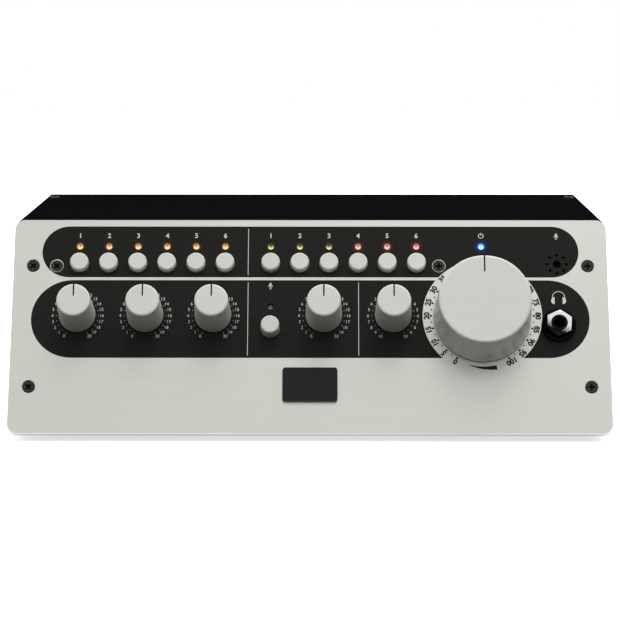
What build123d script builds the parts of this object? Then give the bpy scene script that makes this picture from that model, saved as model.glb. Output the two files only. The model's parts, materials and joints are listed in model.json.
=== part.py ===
from build123d import *
from math import cos, radians, sin, tan
import os

os.makedirs("parts", exist_ok=True)

# A desktop studio monitor controller with a leaning front panel, in millimetres.
# X runs to the right, Y to the back and Z up. The origin is on the table, under the middle.

# Case
case_width = 327.5
top_depth = 176.0  # level top, from the front panel's upper edge to the back
sheet = 1.2  # folded steel
cover_drop = 1.0  # the cover lies this far under the panel's upper edge
cover_skirt = 9.0
floor_rise = 1.5  # the case floor lies this far above the panel's lower edge
bend = 1.0  # outside radius of a fold
flange = 13.0
fit_gap = 0.1  # between sheets that slide together
vent_length = 34.0
vent_width = 3.0
vent_pitch = 9.0
vent_count = 7

# Front panel: places on it are (x, height up the panel), measured from its lower edge
panel_overhang = 1.25  # past the case on each side
panel_height = 125.0
panel_thickness = 3.0
panel_lean = 27.0  # degrees back from upright
panel_corner = 5.5
panel_edge = 0.4
upper_screws_down = 27.4  # from the panel's upper edge
lower_screws_up = 27.0
corner_screw_inset = 10.95  # from the panel's side
bracket_screw_inset = 24.1
bracket_screw_offset = 23.7  # from the volume knob

# Rows and columns of controls
knob_row = 68.2
button_row_down = 26.0  # from the panel's upper edge
led_row_down = 15.9
buttons_in_group = 6
first_button_inset = 36.7  # from the panel's left side
last_button_offset = 36.1  # from the last button to the volume knob
group_gap = 25.3  # between the two groups of buttons
cue_knob_inset = 36.4
cue_knob_pitch = 37.5
cue_knob_count = 3
talk_button_row = 60.85
talk_led_row = 73.8
talk_knob_offset = 29.6  # from the talk button to its level knob
blend_knob_offset = 49.3  # from the blend knob to the volume knob
volume_inset = 69.9  # from the panel's right side
mic_inset = 28.0
mic_row_down = 26.3
phones_inset = 28.0
phones_row = 62.4

# Small knobs
knob_foot_gap = 1.5
knob_top = 26.3  # top face, above the panel
knob_foot_radius = 10.1
knob_top_radius = 9.2
knob_edge = 1.1
knob_cavity_radius = 7.6
knob_cavity = 3.4
pointer_width = 0.8
pointer_length = 7.0
pointer_depth = 0.3

# Volume knob
volume_top = 28.6
volume_foot_radius = 27.0
volume_top_radius = 25.2
volume_edge = 1.3
volume_wall = 4.0
volume_cavity = 17.0
volume_boss_radius = 7.5
volume_pointer_length = 9.6

# Potentiometers
shaft_radius = 3.0
shaft_fit = 0.05
shaft_in_knob = 14.0
shaft_in_pot = 5.0
pot_radius = 8.0
pot_depth = 9.0
bushing_radius = 3.5
bushing_proud = 2.6
pot_nut_width = 10.0
pot_nut_thickness = 2.0
volume_pot_radius = 12.0
volume_pot_depth = 11.0
volume_bushing_radius = 4.5
volume_nut_width = 13.0
hole_clearance = 0.2
terminal = 0.9
terminal_spacing = 5.0

# Buttons and their switches
button_radius = 5.05
button_proud = 4.0  # selector buttons
talk_button_proud = 7.5
button_edge = 0.6
button_clearance = 0.3
button_flange_width = 12.4
button_flange = 1.1
button_rest_gap = 0.4  # between the flange and the bracket
button_travel = 2.0
plunger_width = 3.0
plunger_fit = 0.1
plunger_grip = 3.5
plunger_in_switch = 4.0
switch_width = 8.0
switch_height = 8.0

# Lamps
led_radius = 1.65
led_hole_radius = 1.85
led_recess = 0.3
led_dome = 0.6
led_flange_radius = 2.05
led_flange = 1.0
led_length = 5.5
led_leg = 0.6
led_leg_spacing = 2.54

# Bracket and boards
bracket_thickness = 1.5
bracket_lip = 8.0
bracket_up = 40.0
bracket_down = 6.5  # from the panel's upper edge
bracket_side_gap = 0.6
board_thickness = 1.6
board_standoff = 12.5  # control board, behind the bracket
control_board_left_inset = 22.0
board_jack_gap = 6.25  # from the control board to the headphone socket
control_board_up = 50.0
control_board_down = 9.0
post_width = 5.5  # across the flats
post_bore_radius = 1.55
post_row_below_knobs = 12.0
main_post_height = 6.0
main_board_left_gap = 9.5  # from the transformer
main_board_right_gap = 1.0  # from the rear flange
main_board_depth = 132.0
main_post_inset = 6.0
main_rear_post_inset = 40.0

# Screws
screw_radius = 1.45
screw_hole_radius = 1.65
panel_head_radius = 3.35
panel_head = 1.6
panel_head_edge = 0.5
counterbore_radius = 3.75
counterbore_depth = 1.8
sink_radius = 3.6
sunk_head_below = 0.2
sunk_head = 1.8
panel_screw_length = 8.0
pan_head_radius = 2.8
pan_head = 2.0
cover_head = 1.1  # the cover's screws have low heads
pan_screw_length = 6.0
cross_length = 3.8
cross_width = 1.1
cross_depth = 0.9
cross_turn = 45  # degrees, of the panel's left-hand screws
cover_screw_side = 5.8  # from the case side
cover_screw_back = 28.0  # from the case back

# Badge plate, talkback microphone and headphone socket
badge_width = 30.1
badge_height = 19.5
badge_thickness = 2.0
badge_corner = 1.6
badge_edge = 0.4
badge_row = 27.9
mic_centre_hole_radius = 2.35
mic_hole_radius = 0.9
mic_hole_circle = 5.4
mic_hole_count = 8
mic_radius = 4.85
mic_depth = 6.7
mic_ring_radius = 7.5
mic_ring_depth = 5.0
mic_back_off = 0.3
jack_bore_radius = 3.25
jack_body_width = 15.5
jack_body_height = 16.0
jack_body_depth = 24.0
jack_bore_end = 3.0  # wall behind the blind bore
phones_nose_radius = 4.1
phones_nose_proud = 6.2
phones_washer_radius = 9.5
phones_washer = 3.0
phones_nut_width = 13.3
phones_nut = 3.0
phones_nut_face_in = 0.3  # the nut's face, inside its flats
phones_nut_turn = 25.5
nut_bevel = 0.4
thread_clearance = 0.1

# Back of the case
rear_thickness = 1.5
rear_jack_count = 8
rear_jack_pitch = 26.0
rear_jack_inset = 26.5  # last socket, from the case side
rear_nose_radius = 4.75
rear_nose_proud = 3.5
rear_nut_width = 13.0
rear_nut = 2.2
rear_screw_up = 9.0
rear_screw_side = 7.0  # from the case side
inlet_inset = 32.0
inlet_up = 26.0  # above the case floor
inlet_width = 27.0
inlet_height = 20.0
inlet_depth = 22.0
inlet_rim = 2.0
inlet_rim_thickness = 2.0
well_width = 24.0
well_height = 16.4
well_depth = 17.0
well_corner = 4.0
blade_width = 2.0
blade_height = 4.0
blade_length = 14.0
blade_spread = 7.0
earth_blade_up = 3.6
live_blade_down = 2.0
rocker_offset = 29.0  # from the mains inlet
rocker_frame_width = 12.8
rocker_frame_height = 19.2
rocker_frame_depth = 14.0
rocker_opening_width = 10.2
rocker_opening_height = 16.8
rocker_width = 9.6
rocker_half_height = 7.2
rocker_end_proud = 4.0  # from the pivot to the rocker's ends
rocker_waist_proud = 2.6
rocker_back = 4.5
rocker_back_half = 4.0
rocker_pivot_in = 2.0  # pivot, inside the rear panel's outer face
rocker_pin_radius = 1.2
rocker_pin_reach = 0.9
rocker_throw = 22.0  # degrees from on to off

# Power supply, cable and feet
toroid_radius = 39.0
toroid_height = 34.0
toroid_hole_radius = 13.0
toroid_bevel = 9.0
toroid_side_inset = 54.0
toroid_back_inset = 66.0
pad_thickness = 1.5
clamp_radius = 26.0
clamp_thickness = 1.5
clamp_bolt_radius = 3.0
clamp_bolt_head_width = 10.0
clamp_bolt_head = 4.0
capacitor_radius = 9.0
capacitor_height = 30.0
capacitor_pitch = 22.0
capacitor_inset = 14.0
capacitor_back_inset = 62.0
ribbon_width = 34.0
ribbon_thickness = 1.0
ribbon_plug = 8.0
ribbon_plug_width = 5.0
ribbon_side = -80.0  # middle of the ribbon on the control board, from the volume knob
ribbon_row = 62.0
ribbon_run = 22.0
ribbon_bend = 10.0
ribbon_board_inset = 20.0
foot_radius = 8.0
foot_height = 6.0
foot_taper = 4.0
foot_recess_radius = 3.6
foot_recess = 3.2
foot_side_inset = 22.0
foot_front_inset = 36.0
foot_back_inset = 20.0

# Where the leaning front and the case meet
lean = radians(panel_lean)
panel_width = case_width + 2 * panel_overhang
volume_rim = volume_top_radius - volume_edge
front_overhang = (
    (volume_top - volume_edge) * cos(lean) + volume_edge - (knob_row - volume_rim) * sin(lean)
)
rear_overhang = rear_nose_proud - sheet - fit_gap
whole_depth = front_overhang + panel_height * sin(lean) + top_depth + rear_overhang
edge_y = front_overhang - whole_depth / 2
edge_z = foot_height - floor_rise
floor_z = foot_height
floor_top = floor_z + sheet
top_z = edge_z + panel_height * cos(lean) - cover_drop
wall_top = top_z - sheet
back_y = edge_y + panel_height * sin(lean) + top_depth
rear_y = back_y - sheet - fit_gap
chassis_width = case_width - 2 * (sheet + fit_gap)
wall_x = chassis_width / 2 - sheet

# Depths behind the panel's face
panel_back = -panel_thickness
bracket_back = panel_back - bracket_thickness
board_front = bracket_back - board_standoff
board_back = board_front - board_thickness

# Columns and rows worked out from the panel's sides and edges
left_side = -panel_width / 2
right_side = panel_width / 2
button_row = panel_height - button_row_down
led_row = panel_height - led_row_down
upper_screw_row = panel_height - upper_screws_down
mic_row = panel_height - mic_row_down
source_first = left_side + first_button_inset
volume_column = right_side - volume_inset
row_length = volume_column - last_button_offset - source_first
button_pitch = (row_length - group_gap) / (2 * (buttons_in_group - 1))
source_columns = [source_first + i * button_pitch for i in range(buttons_in_group)]
speaker_first = source_columns[-1] + group_gap
speaker_columns = [speaker_first + i * button_pitch for i in range(buttons_in_group)]
half_group = buttons_in_group // 2
talk_column = speaker_first
cue_first = left_side + cue_knob_inset
talk_knob_column = talk_column + talk_knob_offset
blend_column = volume_column - blend_knob_offset
mic_column = right_side - mic_inset
phones_column = right_side - phones_inset

button_places = {
    f"source_button_{i + 1}": (x, button_row) for i, x in enumerate(source_columns)
}
button_places |= {
    f"monitor_button_{i + 1}": (x, button_row) for i, x in enumerate(speaker_columns)
}
button_places["talk_button"] = (talk_column, talk_button_row)
knob_places = {
    f"cue_knob_{i + 1}": (cue_first + i * cue_knob_pitch, knob_row) for i in range(cue_knob_count)
}
knob_places["talk_level_knob"] = (talk_knob_column, knob_row)
knob_places["blend_knob"] = (blend_column, knob_row)
volume_place = (volume_column, knob_row)
source_led_places = [(x, led_row) for x in source_columns + speaker_columns[:half_group]]
red_led_places = [(x, led_row) for x in speaker_columns[half_group:]]
power_led_place = (volume_column, led_row)
talk_led_place = (talk_column, talk_led_row)
led_places = source_led_places + red_led_places + [power_led_place, talk_led_place]
screw_column = right_side - corner_screw_inset
panel_screw_places = [
    (side * screw_column, row) for side in (-1, 1) for row in (lower_screws_up, upper_screw_row)
]
bracket_screw_places = [
    (left_side + bracket_screw_inset, upper_screw_row),
    (volume_column - bracket_screw_offset, upper_screw_row),
]
cue_gap_column = cue_first + cue_knob_pitch / 2
talk_gap_column = (talk_column + talk_knob_column) / 2
volume_gap_column = (blend_column + volume_column) / 2
control_post_places = [
    (x, row)
    for x in (cue_gap_column, talk_gap_column, volume_gap_column)
    for row in ((knob_row + button_row) / 2, knob_row - post_row_below_knobs)
]


def on_panel(height):
    """The plane parallel to the panel's face, at a height above it; its Y runs up the panel."""
    foot = Plane(
        origin=(0, edge_y, edge_z), x_dir=(1, 0, 0), z_dir=(0, -cos(lean), sin(lean))
    )
    return foot.offset(height)


def cross_places(places):
    """Places of the panel screws' crosses, the left-hand ones turned."""
    return [Location((x, y, 0), (0, 0, cross_turn if x < 0 else 0)) for x, y in places]


def through_axis(place):
    """The plane through a control's axis; its X is the radius and its Y the height."""
    foot = on_panel(0).from_local_coords(Vector(place[0], place[1], 0))
    return Plane(origin=foot, x_dir=(1, 0, 0), z_dir=(0, -sin(lean), -cos(lean)))


def behind_panel(z, depth):
    """How far back the plane at a depth behind the panel's face is, at a level z."""
    return edge_y + (z - edge_z) * tan(lean) + depth / cos(lean)


panel_axis = Axis((0, edge_y, edge_z), (0, -cos(lean), sin(lean)))

# Front panel
with BuildPart() as front_panel:
    with BuildSketch(on_panel(0)):
        with Locations((0, panel_height / 2)):
            RectangleRounded(panel_width, panel_height, panel_corner)
    extrude(amount=-panel_thickness)
    chamfer(front_panel.faces().sort_by(panel_axis)[-1].edges(), length=panel_edge)
    with BuildSketch(on_panel(0)):
        with Locations(*button_places.values()):
            Circle(button_radius + button_clearance)
        with Locations(*knob_places.values()):
            Circle(bushing_radius + hole_clearance)
        with Locations(volume_place):
            Circle(volume_bushing_radius + hole_clearance)
        with Locations(*led_places):
            Circle(led_hole_radius)
        with Locations((phones_column, phones_row)):
            Circle(phones_nose_radius + hole_clearance)
        with Locations((mic_column, mic_row)):
            Circle(mic_centre_hole_radius)
            with PolarLocations(mic_hole_circle, mic_hole_count):
                Circle(mic_hole_radius)
        with Locations(*panel_screw_places, *bracket_screw_places):
            Circle(screw_hole_radius)
    extrude(amount=-panel_thickness, mode=Mode.SUBTRACT)
    with BuildSketch(on_panel(0)):
        with Locations(*panel_screw_places):
            Circle(counterbore_radius)
    extrude(amount=-counterbore_depth, mode=Mode.SUBTRACT)
    with BuildSketch(on_panel(0)):
        with Locations(*bracket_screw_places):
            Circle(sink_radius)
    extrude(amount=screw_hole_radius - sink_radius, taper=45, mode=Mode.SUBTRACT)
front_panel.part.label = "front_panel"
export_step(front_panel.part, "parts/front_panel.step")

# Bottom chassis: the floor, the side walls and their flanges, folded from one sheet
with BuildPart() as bottom_chassis:
    with BuildSketch(Plane.YZ):
        Polygon(
            (behind_panel(floor_z, panel_thickness), floor_z),
            (rear_y, floor_z),
            (rear_y, wall_top),
            (behind_panel(wall_top, panel_thickness), wall_top),
            align=None,
        )
    extrude(amount=chassis_width / 2, both=True)
    front_face = bottom_chassis.faces().sort_by(panel_axis)[-1]
    back_face = bottom_chassis.faces().sort_by(Axis.Y)[-1]
    top_face = bottom_chassis.faces().sort_by(Axis.Z)[-1]
    offset(amount=-sheet, openings=[front_face, back_face, top_face])
    fillet(bottom_chassis.edges().filter_by(Axis.Y).group_by(Axis.Z)[0], radius=bend)
    # front flanges, against the back of the panel
    flange_low = (floor_rise + (panel_thickness + sheet) * sin(lean)) / cos(lean)
    flange_high = panel_height - (cover_drop + sheet) / cos(lean)
    with BuildSketch(on_panel(panel_back)):
        for side in (-1, 1):
            with Locations((side * (wall_x - flange / 2), (flange_low + flange_high) / 2)):
                Rectangle(flange, flange_high - flange_low)
    extrude(amount=-sheet)
    # rear flanges, against the inside of the rear panel
    with BuildSketch(Plane.XZ.offset(-(rear_y - rear_thickness))):
        for side in (-1, 1):
            with Locations((side * (wall_x - flange / 2), (floor_z + wall_top) / 2)):
                Rectangle(flange, wall_top - floor_z)
    extrude(amount=sheet)
    # top lips, under the cover
    lip_front = behind_panel(wall_top, panel_thickness)
    lip_back = rear_y - rear_thickness
    with BuildSketch(Plane.XY.offset(wall_top)):
        for side in (-1, 1):
            with Locations((side * (wall_x - flange / 2), (lip_front + lip_back) / 2)):
                Rectangle(flange, lip_back - lip_front)
    extrude(amount=-sheet)
    # screw holes and the vents under the transformer
    with BuildSketch(on_panel(panel_back)):
        with Locations(*panel_screw_places):
            Circle(screw_radius + thread_clearance)
    extrude(amount=-2 * sheet, mode=Mode.SUBTRACT)
    rear_screw_column = case_width / 2 - rear_screw_side
    rear_screw_places = [
        (side * rear_screw_column, z)
        for side in (-1, 1)
        for z in (floor_z + rear_screw_up, wall_top - cover_skirt - rear_screw_up)
    ]
    with BuildSketch(Plane.XZ.offset(-rear_y)):
        with Locations(*rear_screw_places):
            Circle(screw_radius + thread_clearance)
    extrude(amount=2 * rear_thickness + sheet, mode=Mode.SUBTRACT)
    cover_screw_places = [
        (side * (case_width / 2 - cover_screw_side), back_y - cover_screw_back)
        for side in (-1, 1)
    ]
    with BuildSketch(Plane.XY.offset(wall_top)):
        with Locations(*cover_screw_places):
            Circle(screw_radius + thread_clearance)
    extrude(amount=-sheet, mode=Mode.SUBTRACT)
    foot_places = [
        (side * (case_width / 2 - foot_side_inset), y)
        for side in (-1, 1)
        for y in (edge_y + foot_front_inset, back_y - foot_back_inset)
    ]
    toroid_place = (-(case_width / 2 - toroid_side_inset), rear_y - toroid_back_inset)
    with BuildSketch(Plane.XY.offset(floor_z)):
        with Locations(*foot_places):
            Circle(screw_radius + thread_clearance)
        with Locations(toroid_place):
            Circle(clamp_bolt_radius + hole_clearance)
        vent_y = rear_y - toroid_back_inset - toroid_radius - vent_length / 2
        with Locations((toroid_place[0], vent_y)):
            with GridLocations(vent_pitch, 0, vent_count, 1):
                SlotOverall(vent_length, vent_width, rotation=90)
    extrude(amount=sheet, mode=Mode.SUBTRACT)
bottom_chassis.part.label = "bottom_chassis"
export_step(bottom_chassis.part, "parts/bottom_chassis.step")

# Top cover: a lid with short skirts over the side walls and the rear panel
with BuildPart() as top_cover:
    with BuildSketch(Plane.YZ):
        Polygon(
            (behind_panel(top_z - cover_skirt, panel_thickness) + fit_gap, top_z - cover_skirt),
            (back_y, top_z - cover_skirt),
            (back_y, top_z),
            (behind_panel(top_z, panel_thickness) + fit_gap, top_z),
            align=None,
        )
    extrude(amount=case_width / 2, both=True)
    front_face = top_cover.faces().sort_by(panel_axis)[-1]
    under_face = top_cover.faces().sort_by(Axis.Z)[0]
    offset(amount=-sheet, openings=[front_face, under_face])
    top_face = top_cover.faces().sort_by(Axis.Z)[-1]
    fillet(top_face.edges().filter_by(Axis.Y), radius=bend)
    with BuildSketch(Plane.XY.offset(top_z)):
        with Locations(*cover_screw_places):
            Circle(screw_hole_radius)
    extrude(amount=-sheet, mode=Mode.SUBTRACT)
top_cover.part.label = "top_cover"
export_step(top_cover.part, "parts/top_cover.step")

# Rear panel with its cut-outs
main_board_z = floor_top + main_post_height
main_board_top = main_board_z + board_thickness
rear_jack_z = main_board_top + jack_body_height / 2
rear_jack_last = case_width / 2 - rear_jack_inset
rear_jack_places = [
    (rear_jack_last - i * rear_jack_pitch, rear_jack_z) for i in range(rear_jack_count)
]
inlet_place = (-(case_width / 2 - inlet_inset), floor_z + inlet_up)
rocker_place = (inlet_place[0] + rocker_offset, inlet_place[1])
rear_height = wall_top - floor_top - 2 * fit_gap
with BuildPart() as rear_panel:
    with BuildSketch(Plane.XZ.offset(-rear_y)):
        with Locations((0, floor_top + fit_gap + rear_height / 2)):
            Rectangle(2 * (wall_x - fit_gap), rear_height)
        with Locations(*rear_jack_places):
            Circle(rear_nose_radius + hole_clearance, mode=Mode.SUBTRACT)
        with Locations(inlet_place):
            Rectangle(
                inlet_width + 2 * hole_clearance,
                inlet_height + 2 * hole_clearance,
                mode=Mode.SUBTRACT,
            )
        with Locations(rocker_place):
            Rectangle(
                rocker_frame_width + 2 * hole_clearance,
                rocker_frame_height + 2 * hole_clearance,
                mode=Mode.SUBTRACT,
            )
        with Locations(*rear_screw_places):
            Circle(screw_hole_radius, mode=Mode.SUBTRACT)
    extrude(amount=rear_thickness)
rear_panel.part.label = "rear_panel"
export_step(rear_panel.part, "parts/rear_panel.step")

# Control bracket: a folded sheet behind the panel that carries the controls
bracket_width = 2 * (wall_x - flange - bracket_side_gap)
bracket_high = panel_height - bracket_down
with BuildPart() as control_bracket:
    with BuildSketch(on_panel(panel_back)):
        with Locations((0, (bracket_up + bracket_high) / 2)):
            Rectangle(bracket_width, bracket_high - bracket_up)
        for columns in (source_columns, speaker_columns):
            group_length = columns[-1] - columns[0]
            with Locations(((columns[0] + columns[-1]) / 2, button_row)):
                SlotCenterToCenter(
                    group_length, 2 * (button_radius + button_clearance), mode=Mode.SUBTRACT
                )
            with Locations(((columns[0] + columns[-1]) / 2, led_row)):
                SlotCenterToCenter(group_length, 2 * led_hole_radius, mode=Mode.SUBTRACT)
        with Locations(button_places["talk_button"]):
            Circle(button_radius + button_clearance, mode=Mode.SUBTRACT)
        with Locations(*knob_places.values()):
            Circle(bushing_radius + hole_clearance, mode=Mode.SUBTRACT)
        with Locations(volume_place):
            Circle(volume_bushing_radius + hole_clearance, mode=Mode.SUBTRACT)
        with Locations(power_led_place, talk_led_place):
            Circle(led_hole_radius, mode=Mode.SUBTRACT)
        with Locations((phones_column, phones_row)):
            Circle(phones_nose_radius + hole_clearance, mode=Mode.SUBTRACT)
        with Locations((mic_column, mic_row)):
            Circle(mic_hole_circle + mic_hole_radius, mode=Mode.SUBTRACT)
        with Locations(*bracket_screw_places, *control_post_places):
            Circle(screw_radius + thread_clearance, mode=Mode.SUBTRACT)
    extrude(amount=-bracket_thickness)
    with BuildSketch(on_panel(bracket_back)):
        for row in (bracket_up + bracket_thickness / 2, bracket_high - bracket_thickness / 2):
            with Locations((0, row)):
                Rectangle(bracket_width, bracket_thickness)
    extrude(amount=-bracket_lip)
control_bracket.part.label = "control_bracket"
export_step(control_bracket.part, "parts/control_bracket.step")

# Panel screws at the corners: round heads sunk in counterbores
with BuildPart() as panel_screws:
    with BuildSketch(on_panel(-counterbore_depth)):
        with Locations(*panel_screw_places):
            Circle(panel_head_radius)
    extrude(amount=panel_head)
    chamfer(panel_screws.faces().group_by(panel_axis)[-1].edges(), length=panel_head_edge)
    with BuildSketch(on_panel(-counterbore_depth)):
        with Locations(*panel_screw_places):
            Circle(screw_radius)
    extrude(amount=-panel_screw_length)
    with BuildSketch(on_panel(panel_head - counterbore_depth)):
        with Locations(*cross_places(panel_screw_places)):
            Rectangle(cross_length, cross_width)
            Rectangle(cross_width, cross_length)
    extrude(amount=-cross_depth, mode=Mode.SUBTRACT)
panel_screws.part.label = "panel_screws"
export_step(panel_screws.part, "parts/panel_screws.step")

# Bracket screws: countersunk heads with bare metal round them
with BuildPart() as bracket_screws:
    with BuildSketch(on_panel(-sunk_head_below)):
        with Locations(*bracket_screw_places):
            Circle(panel_head_radius)
    extrude(amount=-sunk_head, taper=45)
    with BuildSketch(on_panel(-sunk_head_below)):
        with Locations(*bracket_screw_places):
            Circle(screw_radius)
    extrude(amount=-panel_screw_length)
    with BuildSketch(on_panel(-sunk_head_below)):
        with Locations(*cross_places(bracket_screw_places)):
            Rectangle(cross_length, cross_width)
            Rectangle(cross_width, cross_length)
    extrude(amount=-cross_depth, mode=Mode.SUBTRACT)
bracket_screws.part.label = "bracket_screws"
export_step(bracket_screws.part, "parts/bracket_screws.step")

# Case screws: two through the cover at the rear corners and four through the rear panel
with BuildPart() as case_screws:
    for face, places, head, outward in (
        (Plane.XY.offset(top_z), cover_screw_places, cover_head, 1),
        (Plane.XZ.offset(-rear_y), rear_screw_places, pan_head, -1),
    ):
        with BuildSketch(face):
            with Locations(*places):
                Circle(pan_head_radius)
        extrude(amount=outward * head)
        with BuildSketch(face):
            with Locations(*places):
                Circle(screw_radius)
        extrude(amount=-outward * pan_screw_length)
        with BuildSketch(face.offset(outward * head)):
            with Locations(*places):
                Rectangle(cross_length, cross_width)
                Rectangle(cross_width, cross_length)
        extrude(amount=-outward * cross_depth, mode=Mode.SUBTRACT)
case_screws.part.label = "case_screws"
export_step(case_screws.part, "parts/case_screws.step")

# Badge plate, blank
with BuildPart() as badge_plate:
    with BuildSketch(on_panel(0)):
        with Locations((0, badge_row)):
            RectangleRounded(badge_width, badge_height, badge_corner)
    extrude(amount=badge_thickness)
    chamfer(badge_plate.faces().sort_by(panel_axis)[-1].edges(), length=badge_edge)
badge_plate.part.label = "badge_plate"
export_step(badge_plate.part, "parts/badge_plate.step")

# Small knobs: tapered caps with a pointer groove and a pocket for the nut under them
for name, place in knob_places.items():
    with BuildPart() as knob:
        with BuildSketch(through_axis(place)) as profile:
            Polygon(
                (0, knob_foot_gap),
                (knob_foot_radius, knob_foot_gap),
                (knob_top_radius, knob_top),
                (0, knob_top),
                align=None,
            )
            fillet(profile.vertices().group_by(Axis.Y)[-1].sort_by(Axis.X)[-1], knob_edge)
        revolve(axis=Axis(through_axis(place).origin, panel_axis.direction))
        with BuildSketch(on_panel(knob_foot_gap)):
            with Locations(place):
                Circle(knob_cavity_radius)
        extrude(amount=knob_cavity, mode=Mode.SUBTRACT)
        with BuildSketch(on_panel(knob_foot_gap)):
            with Locations(place):
                Circle(shaft_radius + shaft_fit)
        extrude(amount=knob_cavity + shaft_in_knob, mode=Mode.SUBTRACT)
        with BuildSketch(on_panel(knob_top)):
            with Locations((place[0], place[1] + knob_top_radius - pointer_length / 2)):
                Rectangle(pointer_width, pointer_length)
        extrude(amount=-pointer_depth, mode=Mode.SUBTRACT)
    knob.part.label = name
    export_step(knob.part, f"parts/{name}.step")

# Volume knob: a large hollow cap on a centre boss
with BuildPart() as volume_knob:
    with BuildSketch(through_axis(volume_place)) as profile:
        Polygon(
            (0, knob_foot_gap),
            (volume_foot_radius, knob_foot_gap),
            (volume_top_radius, volume_top),
            (0, volume_top),
            align=None,
        )
        fillet(profile.vertices().group_by(Axis.Y)[-1].sort_by(Axis.X)[-1], volume_edge)
    revolve(axis=Axis(through_axis(volume_place).origin, panel_axis.direction))
    with BuildSketch(on_panel(knob_foot_gap)):
        with Locations(volume_place):
            Circle(volume_top_radius - volume_wall)
            Circle(volume_boss_radius, mode=Mode.SUBTRACT)
    extrude(amount=volume_cavity, mode=Mode.SUBTRACT)
    with BuildSketch(on_panel(knob_foot_gap)):
        with Locations(volume_place):
            Circle(volume_boss_radius)
    extrude(amount=knob_cavity, mode=Mode.SUBTRACT)
    with BuildSketch(on_panel(knob_foot_gap)):
        with Locations(volume_place):
            Circle(shaft_radius + shaft_fit)
    extrude(amount=knob_cavity + shaft_in_knob, mode=Mode.SUBTRACT)
    with BuildSketch(on_panel(volume_top)):
        pointer_row = knob_row + volume_top_radius - volume_pointer_length / 2
        with Locations((volume_column, pointer_row)):
            Rectangle(pointer_width, volume_pointer_length)
    extrude(amount=-pointer_depth, mode=Mode.SUBTRACT)
volume_knob.part.label = "volume_knob"
export_step(volume_knob.part, "parts/volume_knob.step")

# Shafts, one in each knob
shaft_top = knob_foot_gap + knob_cavity + shaft_in_knob - fit_gap
shaft_low = bracket_back - shaft_in_pot
for name, place in (knob_places | {"volume_knob": volume_place}).items():
    shaft_name = name.replace("knob", "shaft")
    with BuildPart() as shaft:
        with BuildSketch(on_panel(shaft_low)):
            with Locations(place):
                Circle(shaft_radius)
        extrude(amount=shaft_top - shaft_low)
    shaft.part.label = shaft_name
    export_step(shaft.part, f"parts/{shaft_name}.step")

# Potentiometers: cans behind the bracket, threaded bushings through it and the panel
with BuildPart() as potentiometers:
    for places, can_radius, can_depth, nose_radius in (
        (list(knob_places.values()), pot_radius, pot_depth, bushing_radius),
        ([volume_place], volume_pot_radius, volume_pot_depth, volume_bushing_radius),
    ):
        with BuildSketch(on_panel(bracket_back)):
            with Locations(*places):
                Circle(can_radius)
        extrude(amount=-can_depth)
        with BuildSketch(on_panel(bracket_back)):
            with Locations(*places):
                Circle(nose_radius)
        extrude(amount=bushing_proud - bracket_back)
        with BuildSketch(on_panel(bushing_proud)):
            with Locations(*places):
                Circle(shaft_radius + shaft_fit)
        extrude(amount=shaft_low - fit_gap - bushing_proud, mode=Mode.SUBTRACT)
        with BuildSketch(on_panel(bracket_back - can_depth)):
            with Locations(*places):
                with GridLocations(terminal_spacing, 0, 3, 1):
                    Rectangle(terminal, terminal)
        extrude(amount=can_depth - board_standoff)
potentiometers.part.label = "potentiometers"
export_step(potentiometers.part, "parts/potentiometers.step")

# Nuts on the potentiometers, hidden under the knobs
with BuildPart() as pot_nuts:
    for places, nut_width, nose_radius in (
        (list(knob_places.values()), pot_nut_width, bushing_radius),
        ([volume_place], volume_nut_width, volume_bushing_radius),
    ):
        with BuildSketch(on_panel(0)):
            with Locations(*places):
                RegularPolygon(nut_width / 2, 6, major_radius=False)
                Circle(nose_radius + thread_clearance, mode=Mode.SUBTRACT)
        extrude(amount=pot_nut_thickness)
pot_nuts.part.label = "pot_nuts"
export_step(pot_nuts.part, "parts/pot_nuts.step")

# Buttons: round caps with a square flange behind the bracket, each on its switch's plunger
cap_back = bracket_back - button_rest_gap - button_flange
switch_top = board_front + switch_height
plunger_low = switch_top - plunger_in_switch
for name, place in button_places.items():
    proud = talk_button_proud if name == "talk_button" else button_proud
    with BuildPart() as button:
        with BuildSketch(on_panel(cap_back)):
            with Locations(place):
                Circle(button_radius)
        extrude(amount=proud - cap_back)
        chamfer(button.faces().sort_by(panel_axis)[-1].edges(), length=button_edge)
        with BuildSketch(on_panel(cap_back)):
            with Locations(place):
                Rectangle(button_flange_width, button_flange_width)
        extrude(amount=button_flange)
        with BuildSketch(on_panel(cap_back)):
            with Locations(place):
                Rectangle(plunger_width + plunger_fit, plunger_width + plunger_fit)
        extrude(amount=plunger_grip, mode=Mode.SUBTRACT)
        with BuildSketch(on_panel(plunger_low)):
            with Locations(place):
                Rectangle(plunger_width, plunger_width)
        extrude(amount=cap_back + plunger_grip - fit_gap - plunger_low)
    button.part.label = name
    export_step(button.part, f"parts/{name}.step")

# Switch bodies on the control board
with BuildPart() as switch_bodies:
    with BuildSketch(on_panel(board_front)):
        with Locations(*button_places.values()):
            Rectangle(switch_width, switch_width)
    extrude(amount=switch_height)
    with BuildSketch(on_panel(switch_top)):
        with Locations(*button_places.values()):
            Rectangle(plunger_width + 2 * plunger_fit, plunger_width + 2 * plunger_fit)
    extrude(amount=-(plunger_in_switch + button_travel + button_rest_gap), mode=Mode.SUBTRACT)
switch_bodies.part.label = "switch_bodies"
export_step(switch_bodies.part, "parts/switch_bodies.step")

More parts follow.
